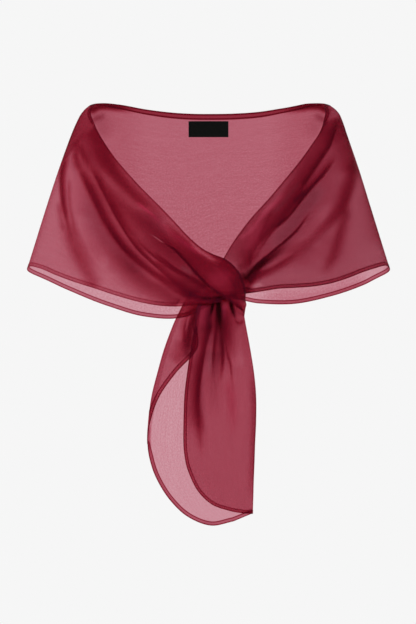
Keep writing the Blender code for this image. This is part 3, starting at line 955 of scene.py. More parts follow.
@dataclass
class LeftFront(Front):
    """The stretch over the wearer's left shoulder and arm."""

    name: str = "left_front_sheet"
    nodes: tuple[str, ...] = ("left_front",)
    columns: int = 200
    rows: int = 130
    flat: tuple[float, float] = (0.26, 0.28)
    area: float = 0.052
    side: Side = Side.LEFT
    base: float = 0.87
    # An even painted shade over this front.
    base_shade: float = 0.33
    low_hem: float = 1.8
    pressed_layers: float = 0.65
    sections: tuple[FrontSection, ...] = (
        FrontSection(168.0, 9.8, 200.0, -42.0, 257.0, -222.0, 0.0),
        FrontSection(169.0, -3.0, 190.0, -50.0, 243.0, -225.5, 0.0),
        FrontSection(161.5, -28.0, 180.0, -66.0, 223.0, -232.0, 0.0),
        FrontSection(148.5, -48.0, 167.0, -86.0, 200.0, -241.0, 0.5),
        FrontSection(129.5, -74.0, 149.0, -111.0, 177.0, -248.0, 1.0),
        FrontSection(109.5, -98.5, 129.0, -135.0, 151.0, -252.5, 1.0),
        FrontSection(85.0, -127.5, 109.0, -159.0, 126.0, -254.3, 0.5),
        FrontSection(63.5, -151.0, 91.0, -178.0, 103.0, -255.5, 0.0),
        FrontSection(45.5, -174.0, 77.0, -201.0, 83.0, -258.5, -1.0),
        FrontSection(31.5, -194.5, 64.0, -223.0, 67.0, -261.0, -2.0),
        FrontSection(23.0, -209.0, 50.0, -238.0, 55.0, -262.6, -3.0),
        FrontSection(12.0, -223.0, 34.0, -247.0, 40.0, -265.0, -3.5),
    )
    creases: tuple[Crease, ...] = (
        Crease(((181, -62), (152, -108), (101, -164), (58, -228)), 7, 7, stand=4),
        Crease(((168, -122), (140, -152), (116, -184), (62, -232)), 7, 7, stand=3),
        Crease(((206, -62), (197, -128), (148, -190), (70, -242)), 10, 10, stand=4.5),
        Crease(((160, -216), (132, -226), (100, -238), (70, -248)), 8, 8, stand=2.5),
        # From here on the rows mix doubled cloth with painted light: the wide dark patches and the
        # rows with shade are painted shade, and the rows that take layers away or add a highlight
        # are painted highlights.
        Crease(((186, -19), (170, -56), (142, -98), (118, -137), (68, -195), (58, -229)),
               2.5, 19, 1.2, starts=0.1, ends=0.1),
        Crease(((188, -7), (176, -47), (165, -64), (143, -97), (133, -109)), 2, 5, 0.8, 0.3,
               starts=0.1, ends=0.2),
        Crease(((189, -61), (164, -93), (136, -118), (107, -157), (87, -180), (63, -220)),
               1.2, 8, 1.4, starts=0.15),
        Crease(((183, -67), (156, -100), (137, -122), (111, -155), (84, -173)), 2, 2, 3.5,
               starts=0.3, ends=0.4),
        Crease(((147, -107), (131, -122), (119, -133)), 4.5, 2, 2.5, starts=0.4, ends=0.4),
        Crease(((112, -151), (95, -168)), 2.5, 2, 1.5, starts=0.4, ends=0.4),
        Crease(((149, -140), (126, -172), (96, -199), (70, -221), (54, -242)), 1.8, 1.4, 3.4,
               starts=0.3, ends=0.02),
        Crease(((88, -208), (74, -223), (58, -246)), 3, 3.5, 2.2, starts=0.4, ends=0.02),
        Crease(((112, -114), (98, -130), (81, -146), (69, -162), (58, -184)), 3, 3, -0.4,
               glow=0.25),
        Crease(((96, -137), (85, -156), (77, -175), (69, -191)), 2.5, 2.5, 0.5),
        Crease(((44, -184), (57, -175), (65, -161)), 3, 3, -0.4, glow=0.2),
        Crease(((120, -183), (97, -204), (74, -221), (60, -235)), 5.5, 2.5, 0.8),
        Crease(((113, -190), (89, -211), (69, -225), (54, -238)), 5, 5, 1, 1, starts=0.5, ends=0),
        Crease(((136, -199), (93, -226), (68, -236), (55, -259)), 6, 3, 1.4, ends=0.1),
        Crease(((212, -59), (209, -84), (200, -112), (190, -140), (170, -162), (137, -195),
                (115, -208)), 8, 9, 1.8, starts=0.2, ends=0.4),
        Crease(((204, -133), (194, -160), (181, -206), (161, -240)), 8.5, 6.5, 1, ends=0.3),
        Crease(((198, -39), (208, -66), (208, -95)), 2.5, 20, 1.3, ends=0.3),
        Crease(((184, -4), (190, -19), (199, -32), (204, -57)), 7, 25, 1.6, starts=0.2, ends=0.3),
        Crease(((172, 4), (168, -12), (161, -29), (153, -41)), 1.5, 1.5, 0.8, starts=0.1,
               ends=0.5),
        Crease(((177, 7), (174, -3), (170, -16), (165, -26)), 1.5, 1.5, 0.8, starts=0.1,
               ends=0.5),
        Crease(((175, -99), (146, -133), (114, -177), (89, -216)), 9, 18, -0.6, 0.35),
        Crease(((180, -125), (160, -166), (116, -203)), 15, 12.5, -1.1, starts=0.4, ends=0.4),
        Crease(((164, -183), (145, -222)), 28, 11, -0.2, starts=0.3, ends=0.3),
        Crease(((237, -97), (244, -151), (257, -198)), 9, 22, 0.4),
        Crease(((137, -98), (123, -113), (105, -136), (89, -148)), 3, 3, -0.5, 0.3),
        Crease(((134, -79), (115, -101), (95, -127), (74, -153)), 3.5, 5, -0.4),
        Crease(((48, -238), (52, -252), (51, -268)), 8, 5, 1.4, starts=0.2, ends=0.05),
        Crease(((50, -229), (63, -213), (76, -199)), 6, 5, 1.0, stand=0, starts=0.1, ends=0.5),
        Crease(((46, -203), (62, -188), (76, -170), (92, -155)), 7, 7, -0.4, glow=0.15,
               stand=0, starts=0.3, ends=0.5),
        Crease(((50, -246), (62, -243), (76, -237), (98, -229)), 9, 4, 1.2, starts=0, ends=0.5),
        Crease(((56, -252), (66, -251.5), (80, -249)), 3, 3, -0.7, stand=0, starts=0.2),
        Crease(((51, -254.8), (57, -255.3), (66, -258)), 1.2, 1.2, 2.2, stand=0, starts=0,
               ends=0.6),
        Crease(((51, -257.3), (58, -257.5), (66, -259)), 1, 1, -1, stand=0, starts=0, ends=0.4),
        Crease(((51, -260.5), (58, -260.3), (70, -260)), 2.5, 2, 1.6, stand=0, starts=0,
               ends=0.6),
        Crease(((43, -217), (47, -229), (49, -242)), 5, 4, 0.8, 0.2),
    )

    def painted(self, seen: Array) -> Cover:
        """The front's cover, pressed flat under the crossing band."""
        pressed = UNDER_UPPER_EDGE.at(seen[:, 0], seen[:, 2])
        return super().painted(seen).thinned(pressed, self.pressed_layers)


@dataclass
class RightFront(Front):
    """The stretch over the wearer's right shoulder and arm, with the band that crosses over.

    Past the slit the band leaves the lower part of the cloth, which gathers under it. The band's
    cover takes over from the front's within join_length sections. From turned_section, counted
    in the band's sections, it has turned behind the knot and thins within turned_length. A
    vertex of the grid counts as on a line within cell_share of a cell.
    """

    name: str = "right_front_sheet"
    nodes: tuple[str, ...] = ("right_front", "cross_band")
    columns: int = 260
    rows: int = 132
    flat: tuple[float, float] = (0.28, 0.36)
    area: float = 0.062
    side: Side = Side.RIGHT
    base: float = 0.68
    slit_column: int = 150
    slit_row: int = 8
    sections: tuple[FrontSection, ...] = (
        FrontSection(-166.0, 10.3, -199.0, -42.0, -257.5, -223.0, 0.0),
        FrontSection(-170.5, 0.0, -191.0, -48.0, -242.0, -227.0, 0.0),
        FrontSection(-165.0, -17.0, -184.0, -70.0, -221.0, -236.0, 0.0),
        FrontSection(-151.5, -42.0, -168.0, -99.0, -194.0, -246.0, 0.5),
        FrontSection(-132.0, -70.0, -147.0, -129.0, -164.0, -255.5, 1.0),
        FrontSection(-114.0, -91.0, -126.0, -149.0, -134.0, -265.5, 1.0),
        FrontSection(-93.5, -113.0, -105.0, -163.0, -106.0, -273.5, 1.5),
        FrontSection(-70.5, -136.0, -86.0, -175.0, -80.0, -279.0, 2.5),
        FrontSection(-60.0, -148.0, -66.8, -188.3, -60.0, -281.2, 4.0),
        FrontSection(-46.0, -161.5, -45.0, -199.5, -40.0, -281.3, 6.0),
        FrontSection(-31.5, -178.0, -26.0, -217.0, -21.0, -279.2, 9.0),
        FrontSection(-17.0, -192.0, -9.0, -233.0, -4.0, -277.4, 12.0),
        FrontSection(-3.0, -202.0, 7.0, -248.0, 11.0, -276.2, 14.5),
        FrontSection(10.0, -212.0, 19.0, -259.0, 26.0, -274.5, 16.0),
    )
    band_sections: tuple[BandSection, ...] = (
        BandSection(-49.5, -158.0, -66.5, -188.0, 6.5, 1.0),
        BandSection(-29.5, -180.0, -47.5, -203.0, 10.5, 2.0),
        BandSection(-9.0, -198.5, -30.0, -221.0, 15.0, 3.0),
        BandSection(6.0, -207.0, -13.0, -241.0, 19.0, 4.0),
        BandSection(23.0, -214.0, 4.0, -257.0, 21.0, 4.5),
        BandSection(38.0, -226.0, 18.0, -267.0, 21.0, 4.5),
        BandSection(47.0, -241.0, 31.0, -276.0, 19.0, 3.5),
        BandSection(52.0, -257.0, 42.0, -284.0, 15.5, 2.0),
        BandSection(52.5, -271.0, 51.0, -291.0, 8.0, 0.0),
        BandSection(54.0, -280.0, 50.0, -295.0, -3.0, 0.0),
        BandSection(41.0, -273.0, 36.0, -286.0, -9.0, 0.0),
        BandSection(24.0, -259.0, 20.0, -271.0, -10.0, 0.0),
    )
    creases: tuple[Crease, ...] = (
        Crease(((-209, -55), (-209, -113), (-197, -174), (-177, -245)), 6, 6, stand=2.5),
        Crease(((-190, -60), (-161, -133), (-110, -204), (-30, -262)), 8, 8, stand=4.5),
        Crease(((-180, -64), (-139, -141), (-84, -206), (-20, -258)), 6, 6, stand=3.5),
        Crease(((-190, -120), (-160, -180), (-112, -232), (-60, -262)), 16, 16, stand=4),
        Crease(((-168, -70), (-126, -118), (-86, -150), (-52, -180)), 8, 8, stand=3),
        # From here on the rows mix doubled cloth with painted light: the wide soft darkening along
        # the neck and the rows with shade are painted shade, and the rows that take layers away or
        # add a highlight are painted highlights.
        Crease(((-171, -19), (-155, -41), (-138, -87), (-105, -127), (-51, -170)), 11, 26, 1.9,
               starts=0.1),
        Crease(((-213, 9), (-196, -31), (-183, -45)), 40, 40, 1.2),
        Crease(((-106, -129), (-86, -145), (-66, -163)), 2, 2, 0.2, glow=0.4),
        Crease(((-201, -51), (-210, -87), (-209, -127), (-205, -150), (-196, -193)), 4, 4.5, 2.2,
               ends=0.4),
        Crease(((-202, -90), (-201, -130), (-190, -188)), 3, 1.5, 0.5),
        Crease(((-208, -152), (-196, -189), (-185, -214), (-161, -260)), 11, 10, 0.8, ends=0.1),
        Crease(((-198, -58), (-168, -115), (-143, -165), (-110, -208), (-63, -244), (-39, -254)),
               5.5, 5, 2.2, starts=0.2),
        Crease(((-173, -74), (-154, -111), (-129, -159), (-101, -200), (-51, -245), (-28, -266)),
               8, 1.2, 1.8, starts=0.15),
        Crease(((-121, -142), (-74, -156), (-57, -189), (-9, -244), (0, -255)), 7, 31, 1.4, 0.3),
        Crease(((-182, -60), (-143, -99), (-103, -136), (-68, -160), (-26, -195)), 8, 11, -1.5),
        Crease(((-123, -165), (-90, -202), (-70, -221)), 2, 2.5, -1.2),
        Crease(((-118, -169), (-97, -194), (-57, -225), (-32, -240)), 2.5, 1.5, 1),
        Crease(((-81, -200), (-63, -215), (-46, -227), (-13, -247)), 1.5, 2.5, 1.3),
        Crease(((-146, -194), (-95, -239), (-64, -259), (-42, -278)), 7, 20, 1.2, 0.2, ends=0.05),
        Crease(((-65, -246), (-25, -267), (12, -265)), 22, 5.5, 2.4, 0.2, starts=0.4, ends=0),
        Crease(((-193, -71), (-188, -51), (-178, -68), (-160, -97)), 6.5, 5, 1.2, starts=0.1,
               ends=0.4),
        Crease(((-184, -96), (-161, -166), (-120, -209), (-76, -240)), 20, 14, shade=0.3),
        Crease(((-188, -144), (-175, -179), (-162, -207), (-143, -228)), 11, 6, -0.6),
        Crease(((-218, -125), (-213, -154), (-209, -176)), 3, 5, 0.5),
        Crease(((-149, -154), (-126, -193), (-102, -217)), 2.5, 1.5, 1, starts=0.4, ends=0.4),
        Crease(((-193, -62), (-184, -84)), 3.5, 8, 0.8, starts=0.4, ends=0.4),
        Crease(((-153, -95), (-146, -119), (-139, -143)), 4, 3.5, -0.6, starts=0.4, ends=0.4),
        Crease(((-42, -222), (-21, -236)), 4, 4, -0.8, 0.3),
        Crease(((-68, -210), (-55, -222), (-41, -232), (-15, -246), (6, -262)), 2, 3, 1,
               starts=0.2, ends=0.1),
        Crease(((-72, -229), (-58, -242), (-36, -258), (-4, -270)), 2.3, 2.5, 0.5),
        Crease(((-72, -242), (-55, -255), (-42, -263)), 2, 2.5, 0.4),
        Crease(((-38, -258), (-23, -265), (-12, -270), (3, -273), (26, -273)), 3, 3, 1.2,
               starts=0.3, ends=0.1),
        Crease(((-38, -244), (-19, -255), (-3, -262)), 3.5, 3.5, -0.6),
        Crease(((-18, -267), (0, -270), (18, -267)), 2, 2, 1, 1, starts=0.4, ends=0.1),
        Crease(((-52, -268), (-36, -274), (-12, -276), (16, -273)), 4, 4, 1.1, starts=0.3, ends=0),
    )
    band_creases: tuple[Crease, ...] = (
        Crease(((-80, -158), (-50, -172), (-14, -208), (30, -236)), 6, 6, stand=1.6),
        Crease(((-74, -172), (-46, -194), (-18, -222), (20, -254)), 6, 6, stand=1.6),
        # From here on, the rows that take layers away or add a highlight are painted highlights,
        # and those with shade are painted shade.
        Crease(((-74, -136), (-58, -153), (-43, -170), (-28, -185), (-14, -198), (2, -209),
                (16, -218)), 5, 5.5, -1.9, starts=0.05, ends=0.3),
        Crease(((-84, -146), (-58, -170), (-31, -192), (-4, -211)), 3, 4, 0.2, glow=0.3,
               starts=0.05, ends=0.3),
        Crease(((-84, -153), (-52, -184), (-23, -211)), 4, 5, -0.4, starts=0.05, ends=0.3),
        Crease(((-33, -211), (-15, -219), (7, -234)), 9, 6, 0.4, ends=0.3),
        Crease(((-71, -183), (-41, -209), (-9, -243), (2, -252)), 2, 3, 0.5,
               starts=0.05, ends=0.3),
        Crease(((-5, -240), (12, -244), (24, -236), (31, -228)), 12, 10, -0.3, glow=0.12),
        Crease(((41, -227), (46, -247), (50, -277)), 8, 7, 0.3, 0.3, starts=0.1, ends=0.02),
        Crease(((38, -239), (37, -254), (33, -270)), 6, 7, 0.5, 0.15),
        Crease(((1, -250), (14, -263), (41, -280)), 3, 5, 0.3, starts=0.1, ends=0.1),
        Crease(((31, -256), (37, -267), (43, -277)), 7, 4, -0.2, 0.35),
        Crease(((-5, -210), (11, -216), (20, -224)), 5, 4, -0.5, ends=0.3),
        Crease(((-28, -190), (-13, -203), (2, -211), (14, -216)), 3, 3, -0.7, starts=0.2,
               ends=0.2),
    )
    band_base: float = 2.9
    band_edge_points: int = 241
    join_length: float = 2.5
    turned_section: float = 9.2
    turned_length: float = 1.2
    turned_share: float = 0.9
    gathered_layers: float = 0.45
    cell_share: float = 0.25

    def cut(self, bm: bmesh.types.BMesh) -> None:
        """Slit the strip along the band, from the slit's column to the end.

        Args:
            bm: The flat grid. Its lips are told apart by a height of -1 or 1.
        """
        line = self.band_rows() / self.rows - 0.5
        start = self.slit_column / self.columns - 0.5
        small = self.cell_share / max(self.columns, self.rows)
        edges = [edge for edge in bm.edges
                 if all(abs(vert.co.y - line) < small and vert.co.x > start - small
                        for vert in edge.verts)]
        bmesh.ops.split_edges(bm, edges=edges)
        for vert in bm.verts:
            if abs(vert.co.y - line) < small and vert.co.x > start + small:
                above = all(face.calc_center_median().y < line for face in vert.link_faces)
                vert.co.z = -1.0 if above else 1.0

    def lay(self, u: Array, v: Array, lip: Array) -> Laid:
        """Lay the front, its gathers and its band on the form.

        Args:
            u: Shares from the side to the knot.
            v: Shares from the neck to the hem.
            lip: -1 on the band's side of the slit, 1 on the gathers' side, 0 elsewhere.

        Returns:
            The laid sheet.
        """
        neck, band, hem, lift = self.curves()
        stops = np.arange(len(neck))
        slit = self.slit_column / self.columns
        index, upper = self.parts(v)
        upper = upper | (lip < 0)
        past = np.clip((u - slit) / (1.0 - slit), 0.0, 1.0)
        before = np.minimum(u, slit) / slit * self.slit_row
        lower_at = before + past * (stops[-1] - self.slit_row)
        band_at = before + past * len(self.band_sections)
        crossing = upper & (u > slit)
        lines = [flow(stops, curve, lower_at) for curve in (neck, band, hem)]
        band_stops, band_neck, band_edge, band_lift, crown = self.band_curves()
        for which, curve in enumerate((band_neck, band_edge)):
            lines[which] = np.where(crossing[:, None], flow(band_stops, curve, band_at),
                                    lines[which])
        level = np.where(crossing, flow(band_stops, band_lift, band_at)[:, 0],
                         flow(stops, lift, lower_at)[:, 0])
        spots, across = self.spread(index, upper, lines, level)
        seen = on_form(spots, level)
        pressed = UNDER_LOWER_EDGE.at(seen[:, 0], seen[:, 2])
        cover = self.painted(seen).thinned(np.where((u > slit) & ~upper, pressed, 0.0),
                                           self.gathered_layers)
        share = np.where(crossing, rise(0.0, self.join_length, band_at - self.slit_row), 0.0)
        cover = cover.blended(self.band_cover(seen, band_at), share)
        swell = flow(band_stops, crown, band_at)[:, 0]
        down = np.clip(index / self.band_rows(), 0.0, 1.0)
        stand = cover.stand + np.where(crossing, swell * np.sin(math.pi * down), 0.0)
        places = on_form(spots, level + stand * rise(0.0, 1.0, lower_at))
        laid = self.finished(places, cover, u, across, (neck, hem, lift), stops)
        band_hem = edge_distance(places, along_edge(band_stops, band_neck, band_lift,
                                                    self.band_edge_points))
        hem_alone = edge_distance(places, along_edge(stops, hem, lift))
        laid.edge = np.select((crossing, u > slit), (band_hem * self.neck_squeeze, hem_alone),
                              laid.edge)
        return laid

    def band_cover(self, seen: Array, band_at: Array) -> Cover:
        """Work out the cover of the crossing band.

        Args:
            seen: Places as they are before the creases stand out.
            band_at: How far along the band's sections they are.

        Returns:
            The cover there, thin again where the band has turned behind the knot.
        """
        cover = Cover.plain(len(seen), self.band_base)
        cover.add(self.band_creases, seen[:, 0], seen[:, 2])
        turned = self.slit_row + self.turned_section
        behind = rise(turned, turned + self.turned_length, band_at)
        return cover.thinned(self.turned_share * behind)

    def band_curves(self) -> tuple[Array, Array, Array, Array, Array]:
        """Find the lines of the upper part: the front as far as the slit and then the band.

        Returns:
            Numbers of the sections, angles and heights of the two edges, and columns of lifts
            and of crowns.
        """
        neck, band, _, lift = self.curves()
        keep = self.slit_row + 1
        stops = np.arange(keep + len(self.band_sections))
        upper = np.vstack((neck[:keep], anchors(self.band_sections, "upper_x", "upper_z")))
        lower = np.vstack((band[:keep], anchors(self.band_sections, "lower_x", "lower_z")))
        lifts = np.array([section.lift for section in self.band_sections])
        crowns = np.array([0.0] * keep + [section.crown for section in self.band_sections])
        return stops, upper, lower, np.vstack((lift[:keep], lifts[:, None])), crowns[:, None]


@dataclass
class Layer:
    """A layer of the tail: its places, its cover and how far across it they are.

    The share runs from the layer's edge to the fold, and in the flap from the curl to the edge.
    """

    places: Array
    cover: Cover
    share: Array


@dataclass
class Tail(Sheet):
    """The hanging end: front layer, lengthwise fold, back layer and the flap folded forward.

    The grid's rows run from the front layer's free edge round the fold to the outline of the
    back layer, and on round a curl to the edge of the flap. Pairs of numbers are places between
    which something changes softly. Those named with depth are millimetres below the origin.
    """

    name: str = "tail_sheet"
    nodes: tuple[str, ...] = ("tail", "tail_flap")
    columns: int = 150
    flat: tuple[float, float] = (0.30, 0.345)
    area: float = 0.078
    held: Hold = Hold.HUNG
    front_rows: int = 84
    back_rows: int = 84
    nose_rows: int = 8
    curl_rows: int = 10
    flap_rows: int = 34
    flap_end: int = 8
    base: float = 1.12
    back_base: float = 0.88
    crown: float = 3.0
    crown_room: float = 12.0
    edge_share: float = 0.25
    pleats: int = 5
    pleat_height: float = 1.6
    pleat_fade: tuple[float, float] = (0.15, 0.5)
    curl_share: float = 0.25
    curl_limit: float = 0.33
    curl_layers: float = 0.35
    curl_margin: int = 3
    fold_layers: float = 0.9
    fold_line: tuple[float, float] = (0.965, 0.995)
    hidden_depth: float = 277.0
    hidden_slope: float = 13.0
    hidden_across: tuple[float, float] = (2.0, 22.0)
    hidden_above: float = 3.0
    hidden_below: float = 2.0
    front_width: float = 105.0
    back_width: float = 155.0
    length: float = 345.0
    front_hem: float = 1.6
    back_hem: float = 1.9
    front_squeeze: float = 1.2
    outline_squeeze: float = 2.5
    outline_depth: tuple[float, float] = (450.0, 500.0)
    edge_points: int = 281
    sections: tuple[TailSection, ...] = (
        TailSection(-4.0, -256.0, 38.0, -260.0, -28.0, -258.0, -2.0, -132.2, 6.5),
        TailSection(-13.0, -273.0, 46.5, -277.0, -35.0, -274.0, -8.0, -133.2, 8.0),
        TailSection(-17.0, -284.0, 50.5, -288.0, -41.0, -286.0, -12.0, -134.5, 10.0),
        TailSection(-19.5, -306.0, 54.0, -308.0, -50.5, -306.0, -17.0, -135.0, 11.5),
        TailSection(-25.5, -342.0, 60.5, -343.0, -64.0, -342.0, -16.0, -134.5, 12.0),
        TailSection(-31.0, -377.0, 66.0, -378.0, -74.0, -377.0, -46.5, -134.0, 11.5),
        TailSection(-35.0, -411.0, 69.0, -412.0, -82.5, -411.0, -70.5, -133.0, 10.5),
        TailSection(-36.2, -446.0, 69.0, -447.0, -87.0, -446.0, -83.5, -132.0, 9.5),
        TailSection(-36.4, -480.0, 67.5, -481.0, -88.5, -480.0, -88.5, -131.0, 9.0),
        TailSection(-34.0, -503.0, 66.5, -511.0, -84.0, -508.0, -84.0, -130.0, 8.5),
        TailSection(-28.5, -523.0, 65.5, -536.0, -74.0, -534.0, -74.0, -129.5, 8.0),
        TailSection(-15.5, -549.0, 65.0, -556.0, -56.0, -562.0, -56.0, -129.0, 7.0),
        TailSection(5.0, -568.5, 64.5, -571.0, -30.5, -586.0, -30.5, -128.5, 6.0),
        TailSection(30.5, -577.5, 64.2, -579.0, 3.0, -599.0, 3.0, -128.0, 5.0),
        TailSection(50.0, -581.0, 64.0, -582.0, 36.0, -593.0, 36.0, -128.0, 4.0),
    )
    creases: tuple[Crease, ...] = (
        Crease(((-16, -280), (-18, -312), (-20, -345), (-24, -380)), 4, 4, stand=2.2),
        Crease(((-9, -280), (-8, -330), (-15, -390), (-11, -470)), 5.5, 5.5, stand=3),
        Crease(((4, -280), (5, -318), (6, -345), (7, -385)), 4, 4, stand=2.6),
        Crease(((14, -280), (17, -320), (20, -350), (22, -400)), 4.5, 4.5, stand=3),
        Crease(((26, -280), (27, -320), (31, -360), (35, -405)), 5, 5, stand=2.8),
        Crease(((36, -282), (40, -310), (46, -345), (50, -390)), 5, 5, stand=2.4),
        # From here on, the rows with shade are painted shade, deepest in the gaps between the
        # pleats under the knot, and the rows that take layers away or add a highlight are painted
        # highlights.
        Crease(((12, -262), (6, -302), (17, -341), (17, -388)), 36, 40, 1.4, 0.35, starts=0.02,
               ends=0.6),
        Crease(((7, -270), (6, -281), (2, -297)), 1.8, 1.6, 3, 2, starts=0, ends=0.5),
        Crease(((13, -268), (15, -286), (18, -326)), 3.2, 3, 3.5, 2.4, starts=0, ends=0.6),
        Crease(((32, -270), (34, -284), (40, -301)), 2.2, 2.2, 2.5, 2, starts=0, ends=0.5),
        Crease(((-13, -268), (-14, -282), (-18, -304)), 3, 3.5, 0.8, starts=0, ends=0.4),
        Crease(((5, -298), (3, -312), (-3, -333), (-7, -354), (-11, -380), (-14, -406),
                (-14, -442), (-9, -505)), 1.4, 5.5, 2.1, starts=0.15, ends=0.35),
        Crease(((18, -306), (20, -334), (21, -352), (20, -372), (17, -396)), 1.8, 2.6, 2,
               starts=0.3, ends=0.5),
        Crease(((12, -303), (9, -332), (7, -354), (4, -390)), 2, 2, 2.2, starts=0.3, ends=0.5),
        Crease(((24, -334), (28, -352), (32, -368), (35, -404)), 1.8, 1.4, 1.4, starts=0.4,
               ends=0.4),
        Crease(((22, -280), (24, -315), (28, -358)), 8, 3.5, 1.1, ends=0.5),
        Crease(((37, -299), (42, -305), (47, -305), (52, -300)), 1.5, 1.5, 1.4),
        Crease(((7, -306), (7, -335), (5, -364), (3, -390)), 2, 8, -0.8, 0.15, ends=0.4),
        Crease(((18, -282), (19, -322), (18, -378)), 5, 6, 0, 0.4, starts=0.1, ends=0.5),
        Crease(((6, -276), (1, -302), (2, -324)), 3, 7, 1.2, 0.4, starts=0.1, ends=0.4),
        Crease(((13, -282), (12, -300), (12, -320)), 3, 3, 1, 0.3, starts=0.1, ends=0.4),
        Crease(((-5, -337), (-12, -368), (-13, -410), (-10, -485)), 6, 12, 0.2, 0.3),
        Crease(((-10, -340), (-15, -386), (-14, -435), (-3, -470)), 4, 20, 0.9, ends=0.4),
        Crease(((12, -341), (8, -375), (8, -460)), 10, 13, 0.4, 0.3, starts=0.2, ends=0.6),
        Crease(((29, -380), (34, -420), (38, -480)), 7, 7, 0.3, glow=0.12, starts=0.3, ends=0.5),
        Crease(((61, -350), (67, -411), (67, -460), (66, -508), (62, -571)), 6, 6, 0.6, 0.15),
        Crease(((43, -303), (45, -338), (48, -378)), 6, 14, -0.4, stand=0),
        Crease(((-13, -425), (-12.5, -450), (-11, -480), (-8, -506)), 5, 5, 0.6, stand=0,
               starts=0.4, ends=0.7),
        Crease(((46, -584), (56, -582), (64, -579)), 4, 4, 1.2, stand=0, starts=0.3, ends=0),
        Crease(((-5, -279), (-5, -296), (-6, -316)), 8, 11, -0.5, glow=0.3, starts=0.1, ends=0.4),
        Crease(((27, -275), (21, -288), (23, -304)), 4, 4, -0.3, glow=0.4, starts=0.1, ends=0.4),
    )
    # In the back layer's and the flap's rows, shade is painted shade and a negative number of
    # layers is a painted highlight.
    back_creases: tuple[Crease, ...] = (
        Crease(((-17, -599), (10, -613), (39, -615)), 9, 9, 0.4, 0.4),
        Crease(((-87, -452), (-88.5, -472), (-87, -494)), 2.5, 1.5, 1.5, stand=0),
    )
    flap_creases: tuple[Crease, ...] = (
        Crease(((-14, -268), (-26, -308), (-27, -349)), 4, 11, 1.5, starts=0.02),
        Crease(((-11, -289), (-24, -305), (-27, -322), (-30, -340), (-30, -357)), 7.5, 6.5, 0.9,
               0.5, starts=0.05, ends=0.05),
        Crease(((-34, -303), (-35, -318), (-36, -336)), 2, 1.5, 1.1),
        Crease(((-26, -292), (-31, -307), (-34, -320)), 2, 1.5, -1.2),
        Crease(((-34, -328), (-39, -347), (-50, -367)), 8, 14, 0.7),
    )

    def __post_init__(self) -> None:
        """Count the rows of the grid."""
        self.rows = self.front_rows + self.back_rows + self.curl_rows + self.flap_rows

    def cut(self, bm: bmesh.types.BMesh) -> None:
        """Leave off the curl and the flap below the flap's tip.

        Args:
            bm: The flat grid.
        """
        line = (self.front_rows + self.back_rows) / self.rows - 0.5
        tip = self.flap_end / (len(self.sections) - 1) - 0.5
        spare = [face for face in bm.faces
                 if face.calc_center_median().x > tip and face.calc_center_median().y > line]
        bmesh.ops.delete(bm, geom=spare, context="FACES")

    def read(self, at: Array) -> TailSection:
        """Read the sections at places along the tail.

        Args:
            at: Places, as numbers of sections.

        Returns:
            A section whose fields are arrays, with one number for each place.
        """
        table = np.array([[getattr(section, name) for name in TailSection.__annotations__]
                          for section in self.sections])
        return TailSection(*flow(np.arange(len(table)), table, at).T)

    def bent(self, share: Array, end: Array, at: TailSection, way: int) -> tuple[Array, Array]:
        """Lay a layer from its end to the nose of the lengthwise fold.

        Args:
            share: Shares of the layer's rows, 0 at the end and 1 at the nose.
            end: Places at the layer's end.
            at: The section at each vertex.
            way: -1 for the front layer, 1 for the back one.

        Returns:
            The places, and their shares of the layer's true width.
        """
        half = at.room / 2
        nose = rows_of(at.fold_x - half, at.middle, at.fold_z)
        start = nose + way * rows_of(0 * half, half, 0 * half)
        straight = np.linalg.norm(end - start, axis=1)
        flat = straight / (straight + half * math.pi / 2)
        turn = self.nose_rows / (self.front_rows if way < 0 else self.back_rows)
        along = np.clip(share / (1.0 - turn), 0.0, 1.0)
        bend = math.pi / 2 * (1.0 - np.clip((share - 1.0 + turn) / turn, 0.0, 1.0))
        round_nose = nose + rows_of(np.cos(bend), way * np.sin(bend), 0 * bend) * half[:, None]
        true_share = np.where(along < 1.0, along * flat,
                              flat + (1 - flat) * (1 - bend / (math.pi / 2)))
        return np.where((along < 1.0)[:, None], mixed(along, end, start), round_nose), true_share

    def front_layer(self, rows: Array, at: TailSection) -> Layer:
        """Lay the front layer, swollen and creased between its free edge and the fold.

        Args:
            rows: Rows of the vertices from the free edge.
            at: The section at each vertex.

        Returns:
            The layer.
        """
        end = rows_of(at.front_x, at.middle - at.room / 2, at.front_z)
        places, share = self.bent(np.clip(rows / self.front_rows, 0.0, 1.0), end, at, -1)
        cover = Cover.plain(len(rows), self.base).add(self.creases, places[:, 0], places[:, 2])
        cover.at_least(BARE_LAYERS)
        loose = np.minimum(1.0, (1.0 - share) / self.edge_share)
        swell = self.crown * np.sin(math.pi * share) * at.room / self.crown_room
        places[:, 1] -= loose * (swell + cover.stand)
        return Layer(places, cover, share)

    def back_layer(self, rows: Array, at: TailSection, u: Array) -> Layer:
        """Lay the back layer, with soft pleats towards its top.

        Args:
            rows: Rows of the vertices from the fold.
            at: The section at each vertex.
            u: Shares down the tail.

        Returns:
            The layer.
        """
        end = rows_of(at.left_x + self.curl(at), at.middle + at.room / 2, at.left_z)
        places, share = self.bent(1.0 - np.clip(rows / self.back_rows, 0.0, 1.0), end, at, 1)
        cover = Cover.plain(len(rows), self.back_base)
        cover.add(self.back_creases, places[:, 0], places[:, 2])
        wave = np.sin(math.pi * self.pleats * share)**2 * np.sin(math.pi * share)
        places[:, 1] += self.pleat_height * (1.0 - rise(*self.pleat_fade, u)) * wave
        return Layer(places, cover, share)

    def curl(self, at: TailSection) -> Array:
        """The radius of the curl at the outline."""
        return np.minimum(self.curl_share * at.room, self.curl_limit * (at.flap_x - at.left_x))

